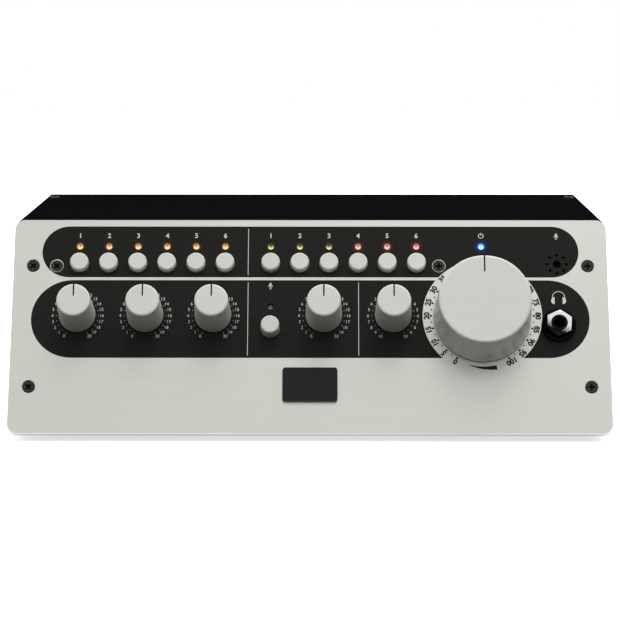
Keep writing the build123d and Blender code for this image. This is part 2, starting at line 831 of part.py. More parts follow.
# Lamps: round lenses just below the panel's face, on legs from the control board
lamp_groups = {
    "source_leds": source_led_places,
    "red_leds": red_led_places,
    "power_led": [power_led_place],
    "talk_led": [talk_led_place],
}
led_low = -led_recess - led_length
for name, places in lamp_groups.items():
    with BuildPart() as leds:
        with BuildSketch(on_panel(led_low)):
            with Locations(*places):
                Circle(led_radius)
        extrude(amount=led_length)
        chamfer(leds.faces().group_by(panel_axis)[-1].edges(), length=led_dome)
        with BuildSketch(on_panel(led_low)):
            with Locations(*places):
                Circle(led_flange_radius)
        extrude(amount=led_flange)
        with BuildSketch(on_panel(led_low)):
            with Locations(*places):
                with GridLocations(led_leg_spacing, 0, 2, 1):
                    Rectangle(led_leg, led_leg)
        extrude(amount=board_front - led_low)
    leds.part.label = name
    export_step(leds.part, f"parts/{name}.step")

# Control board behind the bracket
control_board_left = left_side + control_board_left_inset
control_board_right = phones_column - jack_body_width / 2 - board_jack_gap
control_board_high = panel_height - control_board_down
with BuildPart() as control_board:
    with BuildSketch(on_panel(board_front)):
        board_middle = (
            (control_board_left + control_board_right) / 2,
            (control_board_up + control_board_high) / 2,
        )
        with Locations(board_middle):
            Rectangle(
                control_board_right - control_board_left, control_board_high - control_board_up
            )
        with Locations(*control_post_places):
            Circle(screw_hole_radius, mode=Mode.SUBTRACT)
    extrude(amount=-board_thickness)
control_board.part.label = "control_board"
export_step(control_board.part, "parts/control_board.step")

# Main board on the case floor
main_board_left = toroid_place[0] + toroid_radius + main_board_left_gap
main_board_right = wall_x - flange - main_board_right_gap
main_board_back = rear_y - rear_thickness - fit_gap
main_board_front = main_board_back - main_board_depth
main_post_places = [
    (x, y)
    for x in (main_board_left + main_post_inset, main_board_right - main_post_inset)
    for y in (main_board_front + main_post_inset, main_board_back - main_rear_post_inset)
]
with BuildPart() as main_board:
    with BuildSketch(Plane.XY.offset(main_board_z)):
        board_middle = (
            (main_board_left + main_board_right) / 2,
            (main_board_front + main_board_back) / 2,
        )
        with Locations(board_middle):
            Rectangle(main_board_right - main_board_left, main_board_depth)
        with Locations(*main_post_places):
            Circle(screw_hole_radius, mode=Mode.SUBTRACT)
    extrude(amount=board_thickness)
main_board.part.label = "main_board"
export_step(main_board.part, "parts/main_board.step")

# Posts under the main board and behind the bracket
with BuildPart() as board_posts:
    for face, places, length in (
        (Plane.XY.offset(floor_top), main_post_places, main_post_height),
        (on_panel(bracket_back), control_post_places, -board_standoff),
    ):
        with BuildSketch(face):
            with Locations(*places):
                RegularPolygon(post_width / 2, 6, major_radius=False)
                Circle(post_bore_radius, mode=Mode.SUBTRACT)
        extrude(amount=length)
board_posts.part.label = "board_posts"
export_step(board_posts.part, "parts/board_posts.step")

# Pan-head screws of the boards and the feet
foot_screw_z = foot_recess
with BuildPart() as pan_screws:
    for face, places, outward in (
        (Plane.XY.offset(main_board_top), main_post_places, 1),
        (on_panel(board_back), control_post_places, -1),
        (Plane.XY.offset(foot_screw_z), foot_places, -1),
    ):
        with BuildSketch(face):
            with Locations(*places):
                Circle(pan_head_radius)
        extrude(amount=outward * pan_head)
        with BuildSketch(face):
            with Locations(*places):
                Circle(screw_radius)
        extrude(amount=-outward * pan_screw_length)
pan_screws.part.label = "pan_screws"
export_step(pan_screws.part, "parts/pan_screws.step")

# Talkback microphone capsule in its rubber ring, behind the holes in the panel
with BuildPart() as mic_capsule:
    with BuildSketch(on_panel(bracket_back - mic_back_off)):
        with Locations((mic_column, mic_row)):
            Circle(mic_radius)
    extrude(amount=-mic_depth)
mic_capsule.part.label = "mic_capsule"
export_step(mic_capsule.part, "parts/mic_capsule.step")

with BuildPart() as mic_ring:
    with BuildSketch(on_panel(bracket_back)):
        with Locations((mic_column, mic_row)):
            Circle(mic_ring_radius)
            Circle(mic_radius + fit_gap, mode=Mode.SUBTRACT)
    extrude(amount=-mic_ring_depth)
mic_ring.part.label = "mic_ring"
export_step(mic_ring.part, "parts/mic_ring.step")

# Headphone socket: the body behind the bracket, its threaded nose, a round washer and a hex nut
phones_place = (phones_column, phones_row)
with BuildPart() as headphone_jack:
    with BuildSketch(on_panel(bracket_back)):
        with Locations(phones_place):
            Rectangle(jack_body_width, jack_body_height)
    extrude(amount=-jack_body_depth)
    with BuildSketch(on_panel(bracket_back)):
        with Locations(phones_place):
            Circle(phones_nose_radius)
    extrude(amount=phones_nose_proud - bracket_back)
    with BuildSketch(on_panel(phones_nose_proud)):
        with Locations(phones_place):
            Circle(jack_bore_radius)
    bore_low = bracket_back - jack_body_depth + jack_bore_end
    extrude(amount=bore_low - phones_nose_proud, mode=Mode.SUBTRACT)
headphone_jack.part.label = "headphone_jack"
export_step(headphone_jack.part, "parts/headphone_jack.step")

with BuildPart() as headphone_washer:
    with BuildSketch(on_panel(0)):
        with Locations(phones_place):
            Circle(phones_washer_radius)
    extrude(amount=phones_washer)
    fillet(headphone_washer.faces().sort_by(panel_axis)[-1].edges(), radius=phones_washer / 2)
    with BuildSketch(on_panel(0)):
        with Locations(phones_place):
            Circle(phones_nose_radius + thread_clearance)
    extrude(amount=phones_washer, mode=Mode.SUBTRACT)
headphone_washer.part.label = "headphone_washer"
export_step(headphone_washer.part, "parts/headphone_washer.step")

with BuildPart() as headphone_nut:
    with BuildSketch(on_panel(phones_washer)):
        with Locations(phones_place):
            RegularPolygon(phones_nut_width / 2, 6, major_radius=False, rotation=phones_nut_turn)
    extrude(amount=phones_nut)
    with BuildSketch(on_panel(phones_washer + phones_nut)):
        with Locations(phones_place):
            Circle(phones_nut_width / 2 - phones_nut_face_in)
    extrude(amount=-phones_nut, taper=-60, mode=Mode.INTERSECT)
    with BuildSketch(on_panel(phones_washer)):
        with Locations(phones_place):
            Circle(phones_nose_radius + thread_clearance)
    extrude(amount=phones_nut, mode=Mode.SUBTRACT)
    nut_face = headphone_nut.faces().sort_by(panel_axis)[-1]
    chamfer(nut_face.edges().sort_by(SortBy.RADIUS)[0], length=nut_bevel)
headphone_nut.part.label = "headphone_nut"
export_step(headphone_nut.part, "parts/headphone_nut.step")

# Rear sockets on the main board, with their nuts outside
with BuildPart() as rear_jacks:
    with BuildSketch(Plane.XZ.offset(-(rear_y - rear_thickness))):
        with Locations(*rear_jack_places):
            Rectangle(jack_body_width, jack_body_height)
    extrude(amount=jack_body_depth)
    with BuildSketch(Plane.XZ.offset(-(rear_y - rear_thickness))):
        with Locations(*rear_jack_places):
            Circle(rear_nose_radius)
    extrude(amount=-(rear_thickness + rear_nose_proud))
    with BuildSketch(Plane.XZ.offset(-(rear_y + rear_nose_proud))):
        with Locations(*rear_jack_places):
            Circle(jack_bore_radius)
    rear_bore = rear_nose_proud + rear_thickness + jack_body_depth - jack_bore_end
    extrude(amount=rear_bore, mode=Mode.SUBTRACT)
rear_jacks.part.label = "rear_jacks"
export_step(rear_jacks.part, "parts/rear_jacks.step")

with BuildPart() as rear_jack_nuts:
    with BuildSketch(Plane.XZ.offset(-rear_y)):
        with Locations(*rear_jack_places):
            RegularPolygon(rear_nut_width / 2, 6, major_radius=False)
            Circle(rear_nose_radius + thread_clearance, mode=Mode.SUBTRACT)
    extrude(amount=-rear_nut)
rear_jack_nuts.part.label = "rear_jack_nuts"
export_step(rear_jack_nuts.part, "parts/rear_jack_nuts.step")

# Mains inlet: a rim outside, a well with two bevelled corners and three blades
with BuildPart() as mains_inlet:
    with BuildSketch(Plane.XZ.offset(-rear_y)):
        with Locations(inlet_place):
            Rectangle(inlet_width + 2 * inlet_rim, inlet_height + 2 * inlet_rim)
    extrude(amount=-inlet_rim_thickness)
    fillet(mains_inlet.edges().filter_by(Axis.Y), radius=inlet_rim)
    with BuildSketch(Plane.XZ.offset(-rear_y)):
        with Locations(inlet_place):
            Rectangle(inlet_width, inlet_height)
    extrude(amount=inlet_depth)
    with BuildSketch(Plane.XZ.offset(-(rear_y + inlet_rim_thickness))) as well:
        with Locations(inlet_place):
            Rectangle(well_width, well_height)
        chamfer(well.vertices().group_by(Axis.Y)[-1], length=well_corner)
    extrude(amount=well_depth, mode=Mode.SUBTRACT)
    with BuildSketch(Plane.XZ.offset(-(rear_y + inlet_rim_thickness - well_depth))):
        inlet_x, inlet_z = inlet_place
        with Locations(
            (inlet_x, inlet_z + earth_blade_up),
            (inlet_x - blade_spread, inlet_z - live_blade_down),
            (inlet_x + blade_spread, inlet_z - live_blade_down),
        ):
            Rectangle(blade_width, blade_height)
    extrude(amount=-blade_length)
mains_inlet.part.label = "mains_inlet"
export_step(mains_inlet.part, "parts/mains_inlet.step")

# Mains switch: a frame and a rocker that turns on two pins
pivot_y = rear_y - rocker_pivot_in
with BuildPart() as rocker_frame:
    with BuildSketch(Plane.XZ.offset(-rear_y)):
        with Locations(rocker_place):
            Rectangle(rocker_frame_width + inlet_rim, rocker_frame_height + inlet_rim)
    extrude(amount=-inlet_rim_thickness)
    with BuildSketch(Plane.XZ.offset(-rear_y)):
        with Locations(rocker_place):
            Rectangle(rocker_frame_width, rocker_frame_height)
    extrude(amount=rocker_frame_depth)
    with BuildSketch(Plane.XZ.offset(-(rear_y + inlet_rim_thickness))):
        with Locations(rocker_place):
            Rectangle(rocker_opening_width, rocker_opening_height)
    opening_depth = rocker_frame_depth + inlet_rim_thickness - sheet
    extrude(amount=opening_depth, mode=Mode.SUBTRACT)
    with BuildSketch(Plane.YZ.offset(rocker_place[0])):
        with Locations((pivot_y, rocker_place[1])):
            Circle(rocker_pin_radius + shaft_fit)
    extrude(amount=rocker_width / 2 + rocker_pin_reach + fit_gap, both=True, mode=Mode.SUBTRACT)
rocker_frame.part.label = "rocker_frame"
export_step(rocker_frame.part, "parts/rocker_frame.step")

on_angle = radians(rocker_throw / 2)
pivot = Plane(
    origin=(rocker_place[0], pivot_y, rocker_place[1]),
    x_dir=(0, cos(on_angle), sin(on_angle)),
    z_dir=(1, 0, 0),
)
with BuildPart() as power_rocker:
    with BuildSketch(pivot):
        Polygon(
            (rocker_end_proud, rocker_half_height),
            (rocker_waist_proud, 0),
            (rocker_end_proud, -rocker_half_height),
            (-rocker_back, -rocker_back_half),
            (-rocker_back, rocker_back_half),
            align=None,
        )
    extrude(amount=rocker_width / 2, both=True)
    with BuildSketch(pivot):
        Circle(rocker_pin_radius)
    extrude(amount=rocker_width / 2 + rocker_pin_reach, both=True)
power_rocker.part.label = "power_rocker"
export_step(power_rocker.part, "parts/power_rocker.step")

# Toroidal transformer between two pads, under a clamp plate and its bolt
toroid_plane = Plane(origin=(*toroid_place, floor_top), x_dir=(1, 0, 0), z_dir=(0, -1, 0))
toroid_axis = Axis((*toroid_place, 0), (0, 0, 1))
with BuildPart() as transformer:
    with BuildSketch(toroid_plane) as winding:
        with Locations(((toroid_radius + toroid_hole_radius) / 2, pad_thickness + toroid_height / 2)):
            Rectangle(toroid_radius - toroid_hole_radius, toroid_height)
        chamfer(winding.vertices(), length=toroid_bevel)
    revolve(axis=toroid_axis)
    with BuildSketch(Plane.XY.offset(floor_top)):
        with Locations(toroid_place):
            Circle(toroid_radius - toroid_bevel)
            Circle(toroid_hole_radius + toroid_bevel, mode=Mode.SUBTRACT)
    extrude(amount=pad_thickness)
transformer.part.label = "transformer"
export_step(transformer.part, "parts/transformer.step")

clamp_z = floor_top + pad_thickness + toroid_height
with BuildPart() as transformer_clamp:
    with BuildSketch(Plane.XY.offset(clamp_z)):
        with Locations(toroid_place):
            Circle(clamp_radius)
            Circle(clamp_bolt_radius + fit_gap, mode=Mode.SUBTRACT)
    extrude(amount=clamp_thickness)
    with BuildSketch(Plane.XY.offset(clamp_z + clamp_thickness)):
        with Locations(toroid_place):
            RegularPolygon(clamp_bolt_head_width / 2, 6, major_radius=False)
    extrude(amount=clamp_bolt_head)
    with BuildSketch(Plane.XY.offset(clamp_z + clamp_thickness)):
        with Locations(toroid_place):
            Circle(clamp_bolt_radius)
    extrude(amount=floor_z - clamp_z - clamp_thickness)
transformer_clamp.part.label = "transformer_clamp"
export_step(transformer_clamp.part, "parts/transformer_clamp.step")

# Smoothing capacitors on the main board
with BuildPart() as capacitors:
    capacitor_middle = (
        main_board_left + capacitor_inset,
        main_board_back - capacitor_back_inset,
    )
    with BuildSketch(Plane.XY.offset(main_board_top)):
        with Locations(capacitor_middle):
            with GridLocations(0, capacitor_pitch, 1, 2):
                Circle(capacitor_radius)
    extrude(amount=capacitor_height)
capacitors.part.label = "capacitors"
export_step(capacitors.part, "parts/capacitors.step")

# Ribbon cable from the control board down to the main board, with a plug at each end
ribbon_column = volume_column + ribbon_side
ribbon_top = on_panel(board_back - ribbon_plug).from_local_coords(Vector(0, ribbon_row, 0))
ribbon_turn = on_panel(board_back - ribbon_run).from_local_coords(Vector(0, ribbon_row, 0))
ribbon_end_y = main_board_front + ribbon_board_inset
ribbon_end_z = main_board_top + ribbon_plug
with BuildPart() as ribbon_cable:
    with BuildSketch(Plane.YZ.offset(ribbon_column)):
        with BuildLine():
            FilletPolyline(
                (ribbon_top.Y, ribbon_top.Z),
                (ribbon_turn.Y, ribbon_turn.Z),
                (ribbon_end_y, ribbon_end_z + ribbon_run),
                (ribbon_end_y, ribbon_end_z),
                radius=ribbon_bend,
            )
        trace(line_width=ribbon_thickness)
    extrude(amount=ribbon_width / 2, both=True)
    with BuildSketch(on_panel(board_back)):
        with Locations((ribbon_column, ribbon_row)):
            Rectangle(ribbon_width, ribbon_plug_width)
    extrude(amount=-ribbon_plug)
    with BuildSketch(Plane.XY.offset(main_board_top)):
        with Locations((ribbon_column, ribbon_end_y)):
            Rectangle(ribbon_width, ribbon_plug_width)
    extrude(amount=ribbon_plug)
ribbon_cable.part.label = "ribbon_cable"
export_step(ribbon_cable.part, "parts/ribbon_cable.step")

# Rubber feet
with BuildPart() as feet:
    with BuildSketch(Plane.XY.offset(floor_z)):
        with Locations(*foot_places):
            Circle(foot_radius)
    extrude(amount=-foot_height, taper=foot_taper)
    with BuildSketch(Plane.XY):
        with Locations(*foot_places):
            Circle(foot_recess_radius)
    extrude(amount=foot_recess, mode=Mode.SUBTRACT)
    with BuildSketch(Plane.XY):
        with Locations(*foot_places):
            Circle(screw_radius + thread_clearance)
    extrude(amount=foot_height, mode=Mode.SUBTRACT)
feet.part.label = "feet"
export_step(feet.part, "parts/feet.step")
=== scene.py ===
import json
from math import asin, cos, degrees, exp, pi, radians, sin

import bmesh
import bpy
from mathutils import Matrix, Vector


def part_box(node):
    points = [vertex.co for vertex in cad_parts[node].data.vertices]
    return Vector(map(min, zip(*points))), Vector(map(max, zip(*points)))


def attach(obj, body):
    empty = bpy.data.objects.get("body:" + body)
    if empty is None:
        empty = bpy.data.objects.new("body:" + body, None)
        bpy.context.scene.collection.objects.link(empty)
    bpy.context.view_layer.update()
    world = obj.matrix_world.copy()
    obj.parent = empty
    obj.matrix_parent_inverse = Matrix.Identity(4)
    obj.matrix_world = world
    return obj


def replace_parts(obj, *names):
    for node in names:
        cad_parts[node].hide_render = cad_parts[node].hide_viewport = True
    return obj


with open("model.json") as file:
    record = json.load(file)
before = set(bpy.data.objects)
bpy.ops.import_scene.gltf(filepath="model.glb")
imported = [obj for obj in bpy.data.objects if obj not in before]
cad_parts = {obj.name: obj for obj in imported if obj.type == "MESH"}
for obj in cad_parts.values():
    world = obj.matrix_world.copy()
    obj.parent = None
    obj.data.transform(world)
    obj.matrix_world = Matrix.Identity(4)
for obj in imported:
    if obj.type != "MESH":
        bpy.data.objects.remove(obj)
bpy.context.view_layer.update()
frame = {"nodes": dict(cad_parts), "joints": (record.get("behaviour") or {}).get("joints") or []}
nodes = frame["nodes"]
joints = {joint["name"]: joint for joint in frame["joints"]}
mm = 0.001
print("frame loaded:", len(nodes), "nodes")

# The leaning panel's own directions, and the rows of its print, in mm up its slope
rows = {
    "knobs": 68.2,
    "buttonNumbers": 115.5,
    "talkSign": 86.1,
    "headphoneSign": 79.35,
}
outward = Vector(joints["volume_turn"]["axis"])
across = Vector((1, 0, 0))
upSlope = outward.cross(across)
volumeFoot = Vector(joints["volume_turn"]["pos_m"])
panelFoot = volumeFoot - upSlope * rows["knobs"] * mm - across * volumeFoot.x
panelFrame = Matrix((across, upSlope, outward)).transposed().to_4x4()
panelFrame.translation = panelFoot
panelFrame = panelFrame @ Matrix.Scale(mm, 4)
toPanel = panelFrame.inverted()


def panelBox(node):
    # a node's lowest and highest corner in the panel's own directions, in mm
    points = [toPanel @ vertex.co for vertex in nodes[node].data.vertices]
    low = Vector([min(point[i] for point in points) for i in range(3)])
    high = Vector([max(point[i] for point in points) for i in range(3)])
    return low, high


def panelPlace(node):
    low, high = panelBox(node)
    return (low.x + high.x) / 2, (low.y + high.y) / 2


groupButtons = 6
yellowLamps = 3  # the monitor buttons' first lamps, the others are red
sourceButtons = [panelPlace(f"source_button_{i + 1}") for i in range(groupButtons)]
monitorButtons = [panelPlace(f"monitor_button_{i + 1}") for i in range(groupButtons)]
talkButton = panelPlace("talk_button")
talkLamp = panelPlace("talk_led")
powerLamp = panelPlace("power_led")
microphone = panelPlace("mic_capsule")
headphones = panelPlace("headphone_nut")
lampRow = panelPlace("red_leds")[1]
knobColumns = {
    name.replace("_turn", "_knob"): joint["pos_m"][0] / mm
    for name, joint in joints.items()
    if "_turn" in name
}
volumeColumn = volumeFoot.x / mm
smallKnobs = [name for name in knobColumns if name != "volume_knob"]


def linear(hexColour):
    # sRGB hex to Blender's linear colour
    channels = [int(hexColour[i : i + 2], 16) / 255 for i in (1, 3, 5)]
    return [c / 12.92 if c <= 0.04045 else ((c + 0.055) / 1.055) ** 2.4 for c in channels] + [1.0]


def addNode(tree, kind, inputs=None, **settings):
    node = tree.nodes.new(kind)
    for key, value in settings.items():
        setattr(node, key, value)
    for key, value in (inputs or {}).items():
        if isinstance(value, bpy.types.NodeSocket):
            tree.links.new(value, node.inputs[key])
        else:
            node.inputs[key].default_value = value
    return node


def finish(name, colour, roughness, metallic=0.0, **sockets):
    material = bpy.data.materials.new(name)
    material.use_nodes = True
    tree = material.node_tree
    tree.nodes.clear()
    values = {"Base Color": linear(colour), "Roughness": roughness, "Metallic": metallic}
    values |= {key.replace("_", " "): value for key, value in sockets.items()}
    shader = addNode(tree, "ShaderNodeBsdfPrincipled", values)
    addNode(tree, "ShaderNodeOutputMaterial", {"Surface": shader.outputs["BSDF"]})
    return material, tree, shader


def grain(tree, cell, detail=2.0, tilt=0.0):
    # noise with cells of that many mm along x, y and z, fixed to the piece, tilted about x
    place = addNode(tree, "ShaderNodeTexCoord")
    size = addNode(
        tree,
        "ShaderNodeMapping",
        {
            "Vector": place.outputs["Object"],
            "Rotation": (tilt, 0, 0),
            "Scale": [side * mm for side in cell],
        },
        vector_type="TEXTURE",
    )
    noise = {"Vector": size.outputs["Vector"], "Scale": 1.0, "Detail": detail}
    return addNode(tree, "ShaderNodeTexNoise", noise).outputs["Fac"]


def slope(tree, direction, low, high):
    # from 0 to 1 along a direction, between two levels in metres
    place = addNode(tree, "ShaderNodeTexCoord").outputs["Object"]
    level = addNode(
        tree, "ShaderNodeVectorMath", {0: place, 1: direction}, operation="DOT_PRODUCT"
    ).outputs["Value"]
    span = {"Value": level, "From Min": low, "From Max": high}
    return addNode(tree, "ShaderNodeMapRange", span).outputs["Result"]


noiseRange = (0.3, 0.7)  # where nearly all of the noise lies


def roughen(tree, shader, pattern, roughness, spread):
    # rougher where the pattern is low, smoother where it is high
    low, high = noiseRange
    span = {"Value": pattern, "From Min": low, "From Max": high}
    span |= {"To Min": roughness + spread, "To Max": roughness - spread}
    tree.links.new(
        addNode(tree, "ShaderNodeMapRange", span).outputs["Result"], shader.inputs["Roughness"]
    )


def tint(tree, shader, pattern, dark, light):
    blend = addNode(
        tree,
        "ShaderNodeMix",
        {"Factor": pattern, "A": linear(dark), "B": linear(light)},
        data_type="RGBA",
    )
    tree.links.new(blend.outputs["Result"], shader.inputs["Base Color"])


def emboss(tree, shader, pattern, depth):
    bump = addNode(tree, "ShaderNodeBump", {"Height": pattern, "Distance": depth * mm})
    tree.links.new(bump.outputs["Normal"], shader.inputs["Normal"])


# Aluminium, brushed along its length and clear anodised: long faint streaks and a soft sheen.
# Its real scratches are 0.05 mm apart, drawn here nine times as coarse so that they show.
brushedAluminium = {
    "light": "#CBCBC5",
    "dark": "#BEBEB7",
    "roughness": 0.36,
    "spread": 0.04,
    "streakLength": 60.0,
    "streakWidth": 0.45,
    "depth": 0.004,
}


def makeBrushedAluminium():
    k = brushedAluminium
    material, tree, shader = finish(
        "brushed anodised aluminium", k["light"], k["roughness"], metallic=1.0
    )
    streaks = grain(tree, (k["streakLength"], k["streakWidth"], k["streakWidth"]), detail=3.0)
    tint(tree, shader, streaks, k["dark"], k["light"])
    roughen(tree, shader, streaks, k["roughness"], k["spread"])
    emboss(tree, shader, streaks, k["depth"])
    return material


# Steel, powder coated black: a skin with fine pimples of about half a millimetre, dead matt on
# the cover and with a trace of sheen on the chassis and the rear panel
powderCoat = {
    # the cover's colour is darker than the chassis's same coat: painted shade, so that its lit top
    # stays black
    "cover": ("matt black powder coated cover", "#0D0D0E", 0.0),
    "chassis": ("black powder coated chassis", "#161617", 0.12),
    "roughness": 0.9,
    "spread": -0.05,  # the pimples' tops are the roughest
    "pimple": 0.5,
    "depth": 0.02,
}


def makePowderCoat(piece):
    k = powderCoat
    name, colour, specular = k[piece]
    material, tree, shader = finish(name, colour, k["roughness"], Specular_IOR_Level=specular)
    pimples = grain(tree, [k["pimple"]] * 3, detail=1.0)
    roughen(tree, shader, pimples, k["roughness"], k["spread"])
    emboss(tree, shader, pimples, k["depth"])
    return material


# Silver lacquer over turned ABS: an even light grey, with the tool's fine rings just showing
# through. The rings are 0.1 mm apart, drawn here three times as coarse.
knobLacquer = {
    "light": "#DEDED7",
    "dark": "#D6D6CF",
    "roughness": 0.35,
    "spread": 0.03,
    "ringPitch": 0.3,
    "ringLength": 8.0,
    "depth": 0.006,
}


def makeKnobLacquer():
    k = knobLacquer
    material, tree, shader = finish("satin lacquered knob ABS", k["light"], k["roughness"])
    cell = (k["ringLength"], k["ringLength"], k["ringPitch"])
    turned = grain(tree, cell, tilt=outward.angle(Vector((0, 0, 1))))
    tint(tree, shader, turned, k["dark"], k["light"])
    roughen(tree, shader, turned, k["roughness"], k["spread"])
    emboss(tree, shader, turned, k["depth"])
    return material


# Light grey ABS from a spark-eroded mould: matt with a very fine grit
buttonAbs = {
    "light": "#D8D9D3",
    "dark": "#D1D2CC",
    "roughness": 0.5,
    "spread": 0.05,
    "grit": 0.3,
    "depth": 0.003,
}


def makeButtonAbs():
    k = buttonAbs
    material, tree, shader = finish("light grey moulded ABS", k["light"], k["roughness"])
    grit = grain(tree, [k["grit"]] * 3)
    tint(tree, shader, grit, k["dark"], k["light"])
    roughen(tree, shader, grit, k["roughness"], k["spread"])
    emboss(tree, shader, grit, k["depth"])
    return material


# Two-part epoxy ink, screen printed: a dense matt film, a little uneven over a few millimetres.
# Each ink: its name, colours, roughness and specular level
inks = {
    "field": ("black epoxy screen ink", "#151412", "#0F0F0D", 0.5, 0.13),
    "light": ("light grey screen ink", "#DDDCD6", "#CFCEC8", 0.5, 0.5),
    "letter": ("black lettering ink", "#121210", "#0D0D0C", 0.5, 0.2),
    "pointer": ("black paint in the pointer groove", "#0B0B0A", "#070706", 0.8, 0.05),
}
inkPatch = {"size": 2.5, "spread": 0.05}


def makeInk(key):
    name, light, dark, roughness, specular = inks[key]
    material, tree, shader = finish(name, light, roughness, Specular_IOR_Level=specular)
    film = grain(tree, [inkPatch["size"]] * 3, detail=3.0)
    tint(tree, shader, film, dark, light)
    roughen(tree, shader, film, roughness, inkPatch["spread"])
    return material


# Plain finishes: what they are, their colours, roughness, metallic, specular level, the size
# of their grain in mm and its depth
plainSpread = 0.15  # how far the roughness varies, as a share of it
plainFinishes = {
    "zincPlate": ("zinc plated steel", "#B9BCC0", "#A7AAB0", 0.38, 1.0, 0.5, 1.2, 0.002),
    "blackOxide": ("black oxide steel screw", "#3A3936", "#2A2926", 0.45, 0.9, 0.5, 0.25, 0.003),
    "nickelCan": ("nickel plated can", "#C2C1BA", "#B0AFA8", 0.3, 1.0, 0.5, 1.0, 0.002),
    "turnedSteel": ("turned steel shaft", "#BDBDBB", "#A5A5A3", 0.32, 1.0, 0.5, 0.3, 0.003),
    "turnedBrass": ("turned brass post", "#C8A458", "#B08C44", 0.34, 1.0, 0.5, 0.4, 0.002),
    "badgePlastic": ("black moulded badge", "#131312", "#0D0D0C", 0.42, 0.0, 0.2, 0.4, 0.002),
    "socketBlack": ("black socket nylon", "#0B0B0B", "#070707", 0.6, 0.0, 0.1, 0.5, 0.002),
    "mouldedBlack": ("black moulded nylon", "#161616", "#0E0E0E", 0.55, 0.0, 0.3, 0.5, 0.004),
    "glossBlack": ("glossy black moulding", "#0A0A0B", "#060607", 0.15, 0.0, 0.4, 2.0, 0.001),
    "rubber": ("moulded black rubber", "#181818", "#101010", 0.85, 0.0, 0.3, 0.7, 0.01),
    "circuitBoard": ("solder mask on board", "#1F5A36", "#174628", 0.35, 0.0, 0.5, 3.0, 0.01),
    "ribbon": ("grey flat ribbon", "#8C8D90", "#77787B", 0.5, 0.0, 0.5, 1.27, 0.05),
    "windingTape": ("polyester winding tape", "#B89B3C", "#9A7F2C", 0.35, 0.0, 0.5, 6.0, 0.05),
    "capsuleFelt": ("dark felt on the capsule", "#2B211B", "#17120F", 0.9, 0.0, 0.1, 0.3, 0.02),
    "washerBlack": ("glossy black nylon washer", "#050505", "#030303", 0.2, 0.0, 0.03, 2.0, 0.001),
    "nickelNut": ("nickel plated socket nut", "#B4B3AD", "#9C9B95", 0.24, 1.0, 0.5, 1.5, 0.001),
}


def makePlainFinish(key):
    name, light, dark, roughness, metallic, specular, cell, depth = plainFinishes[key]
    material, tree, shader = finish(
        name, light, roughness, metallic, Specular_IOR_Level=specular
    )
    fleck = grain(tree, [cell] * 3)
    tint(tree, shader, fleck, dark, light)
    roughen(tree, shader, fleck, roughness, roughness * plainSpread)
    emboss(tree, shader, fleck, depth)
    return material


# Black oxide on steel: satin grey-black, with painted shade in the cross recess, black
# between the two depths under the head's top
screwOxide = {
    "head": "#33322F",
    "recess": "#020202",
    "roughness": 0.45,
    "spread": 0.05,
    "metallic": 0.9,
    "shallow": 0.5,
    "deep": 0.65,
    "grit": 0.25,
    "depth": 0.003,
}


def makeScrewFinish(node):
    k = screwOxide
    name = "shade_painted " + node.replace("_", " ")
    material, tree, shader = finish(name, k["head"], k["roughness"], k["metallic"])
    headTop = (panelFrame @ Vector((0, 0, panelBox(node)[1].z))).dot(outward)
    # painted shade: black deep in the recess, the head's own grey above it
    recessShadeMask = slope(tree, outward, headTop - k["deep"] * mm, headTop - k["shallow"] * mm)
    tint(tree, shader, recessShadeMask, k["recess"], k["head"])
    grit = grain(tree, [k["grit"]] * 3)
    roughen(tree, shader, grit, k["roughness"], k["spread"])
    emboss(tree, shader, grit, k["depth"])
    return material


# Chrome over a turned brass nut, with a painted reflection in its colour: dark on its lower
# side and bright above, from "low" to "high" in mm up from its middle, leaning to the right
nutChromeAndPaintedReflection = {
    "light": "#E2E2E0",
    "dark": "#161615",
    "roughness": 0.14,
    "spread": 0.04,
    "low": -4.3,
    "high": 0.4,
    "lean": 0.4,
    "turning": 0.4,
}


def makeNutChrome(place):
    k = nutChromeAndPaintedReflection
    material, tree, shader = finish(
        "chrome plated turned nut", k["light"], k["roughness"], metallic=1.0
    )
    direction = (across * k["lean"] + upSlope).normalized()
    middle = (panelFrame @ Vector((*place, 0))).dot(direction)
    # painted reflection: the colour runs from dark below the middle to light above it
    bright = slope(tree, direction, middle + k["low"] * mm, middle + k["high"] * mm)
    tint(tree, shader, bright, k["dark"], k["light"])
    turned = grain(tree, [k["turning"]] * 3)
    roughen(tree, shader, turned, k["roughness"], k["spread"])
    return material


def shine(tree, shader, colours, places):
    # light given off from dim to bright, by how strongly the piece glows at each point
    glowing = addNode(tree, "ShaderNodeAttribute", attribute_name="glow").outputs["Fac"]
    ramp = addNode(tree, "ShaderNodeValToRGB", {"Fac": glowing})
    stops = ramp.color_ramp.elements
    stops[0].position, stops[1].position = places[0], places[2]
    stops[0].color, stops[1].color = linear(colours[0]), linear(colours[2])
    stops.new(places[1]).color = linear(colours[1])
    tree.links.new(ramp.outputs["Color"], shader.inputs["Emission Color"])


# Epoxy lamp lenses, cast and tinted: glossy, pale all over where lit, and dark on the chip.
# Each colour from the chip to the brightest light
lensColours = {
    "amber": ("#48240A", "#EBB56E", "#FFE9BC"),
    "yellow": ("#2C2806", "#B4A850", "#F8F4B0"),
    "red": ("#541818", "#F2AAA4", "#FFD2CA"),
    "blue": ("#4A98E8", "#98DCFF", "#D2F8FF"),
    # the talk lamp is off: the clear lens's dim grey glow, palest low on its nose, is a painted
    # reflection
    "clear": ("#050505", "#383836", "#8E8E8A"),
}
lensEpoxy = {"roughness": 0.1, "coat": 0.4, "coatRoughness": 0.05, "stops": (0.05, 0.5, 0.95)}


def makeLens(colour):
    k = lensEpoxy
    material, tree, shader = finish(
        colour + " lamp lens",
        lensColours[colour][0],
        k["roughness"],
        Emission_Strength=1.0,
        Coat_Weight=k["coat"],
        Coat_Roughness=k["coatRoughness"],
    )
    shine(tree, shader, lensColours[colour], k["stops"])
    return material


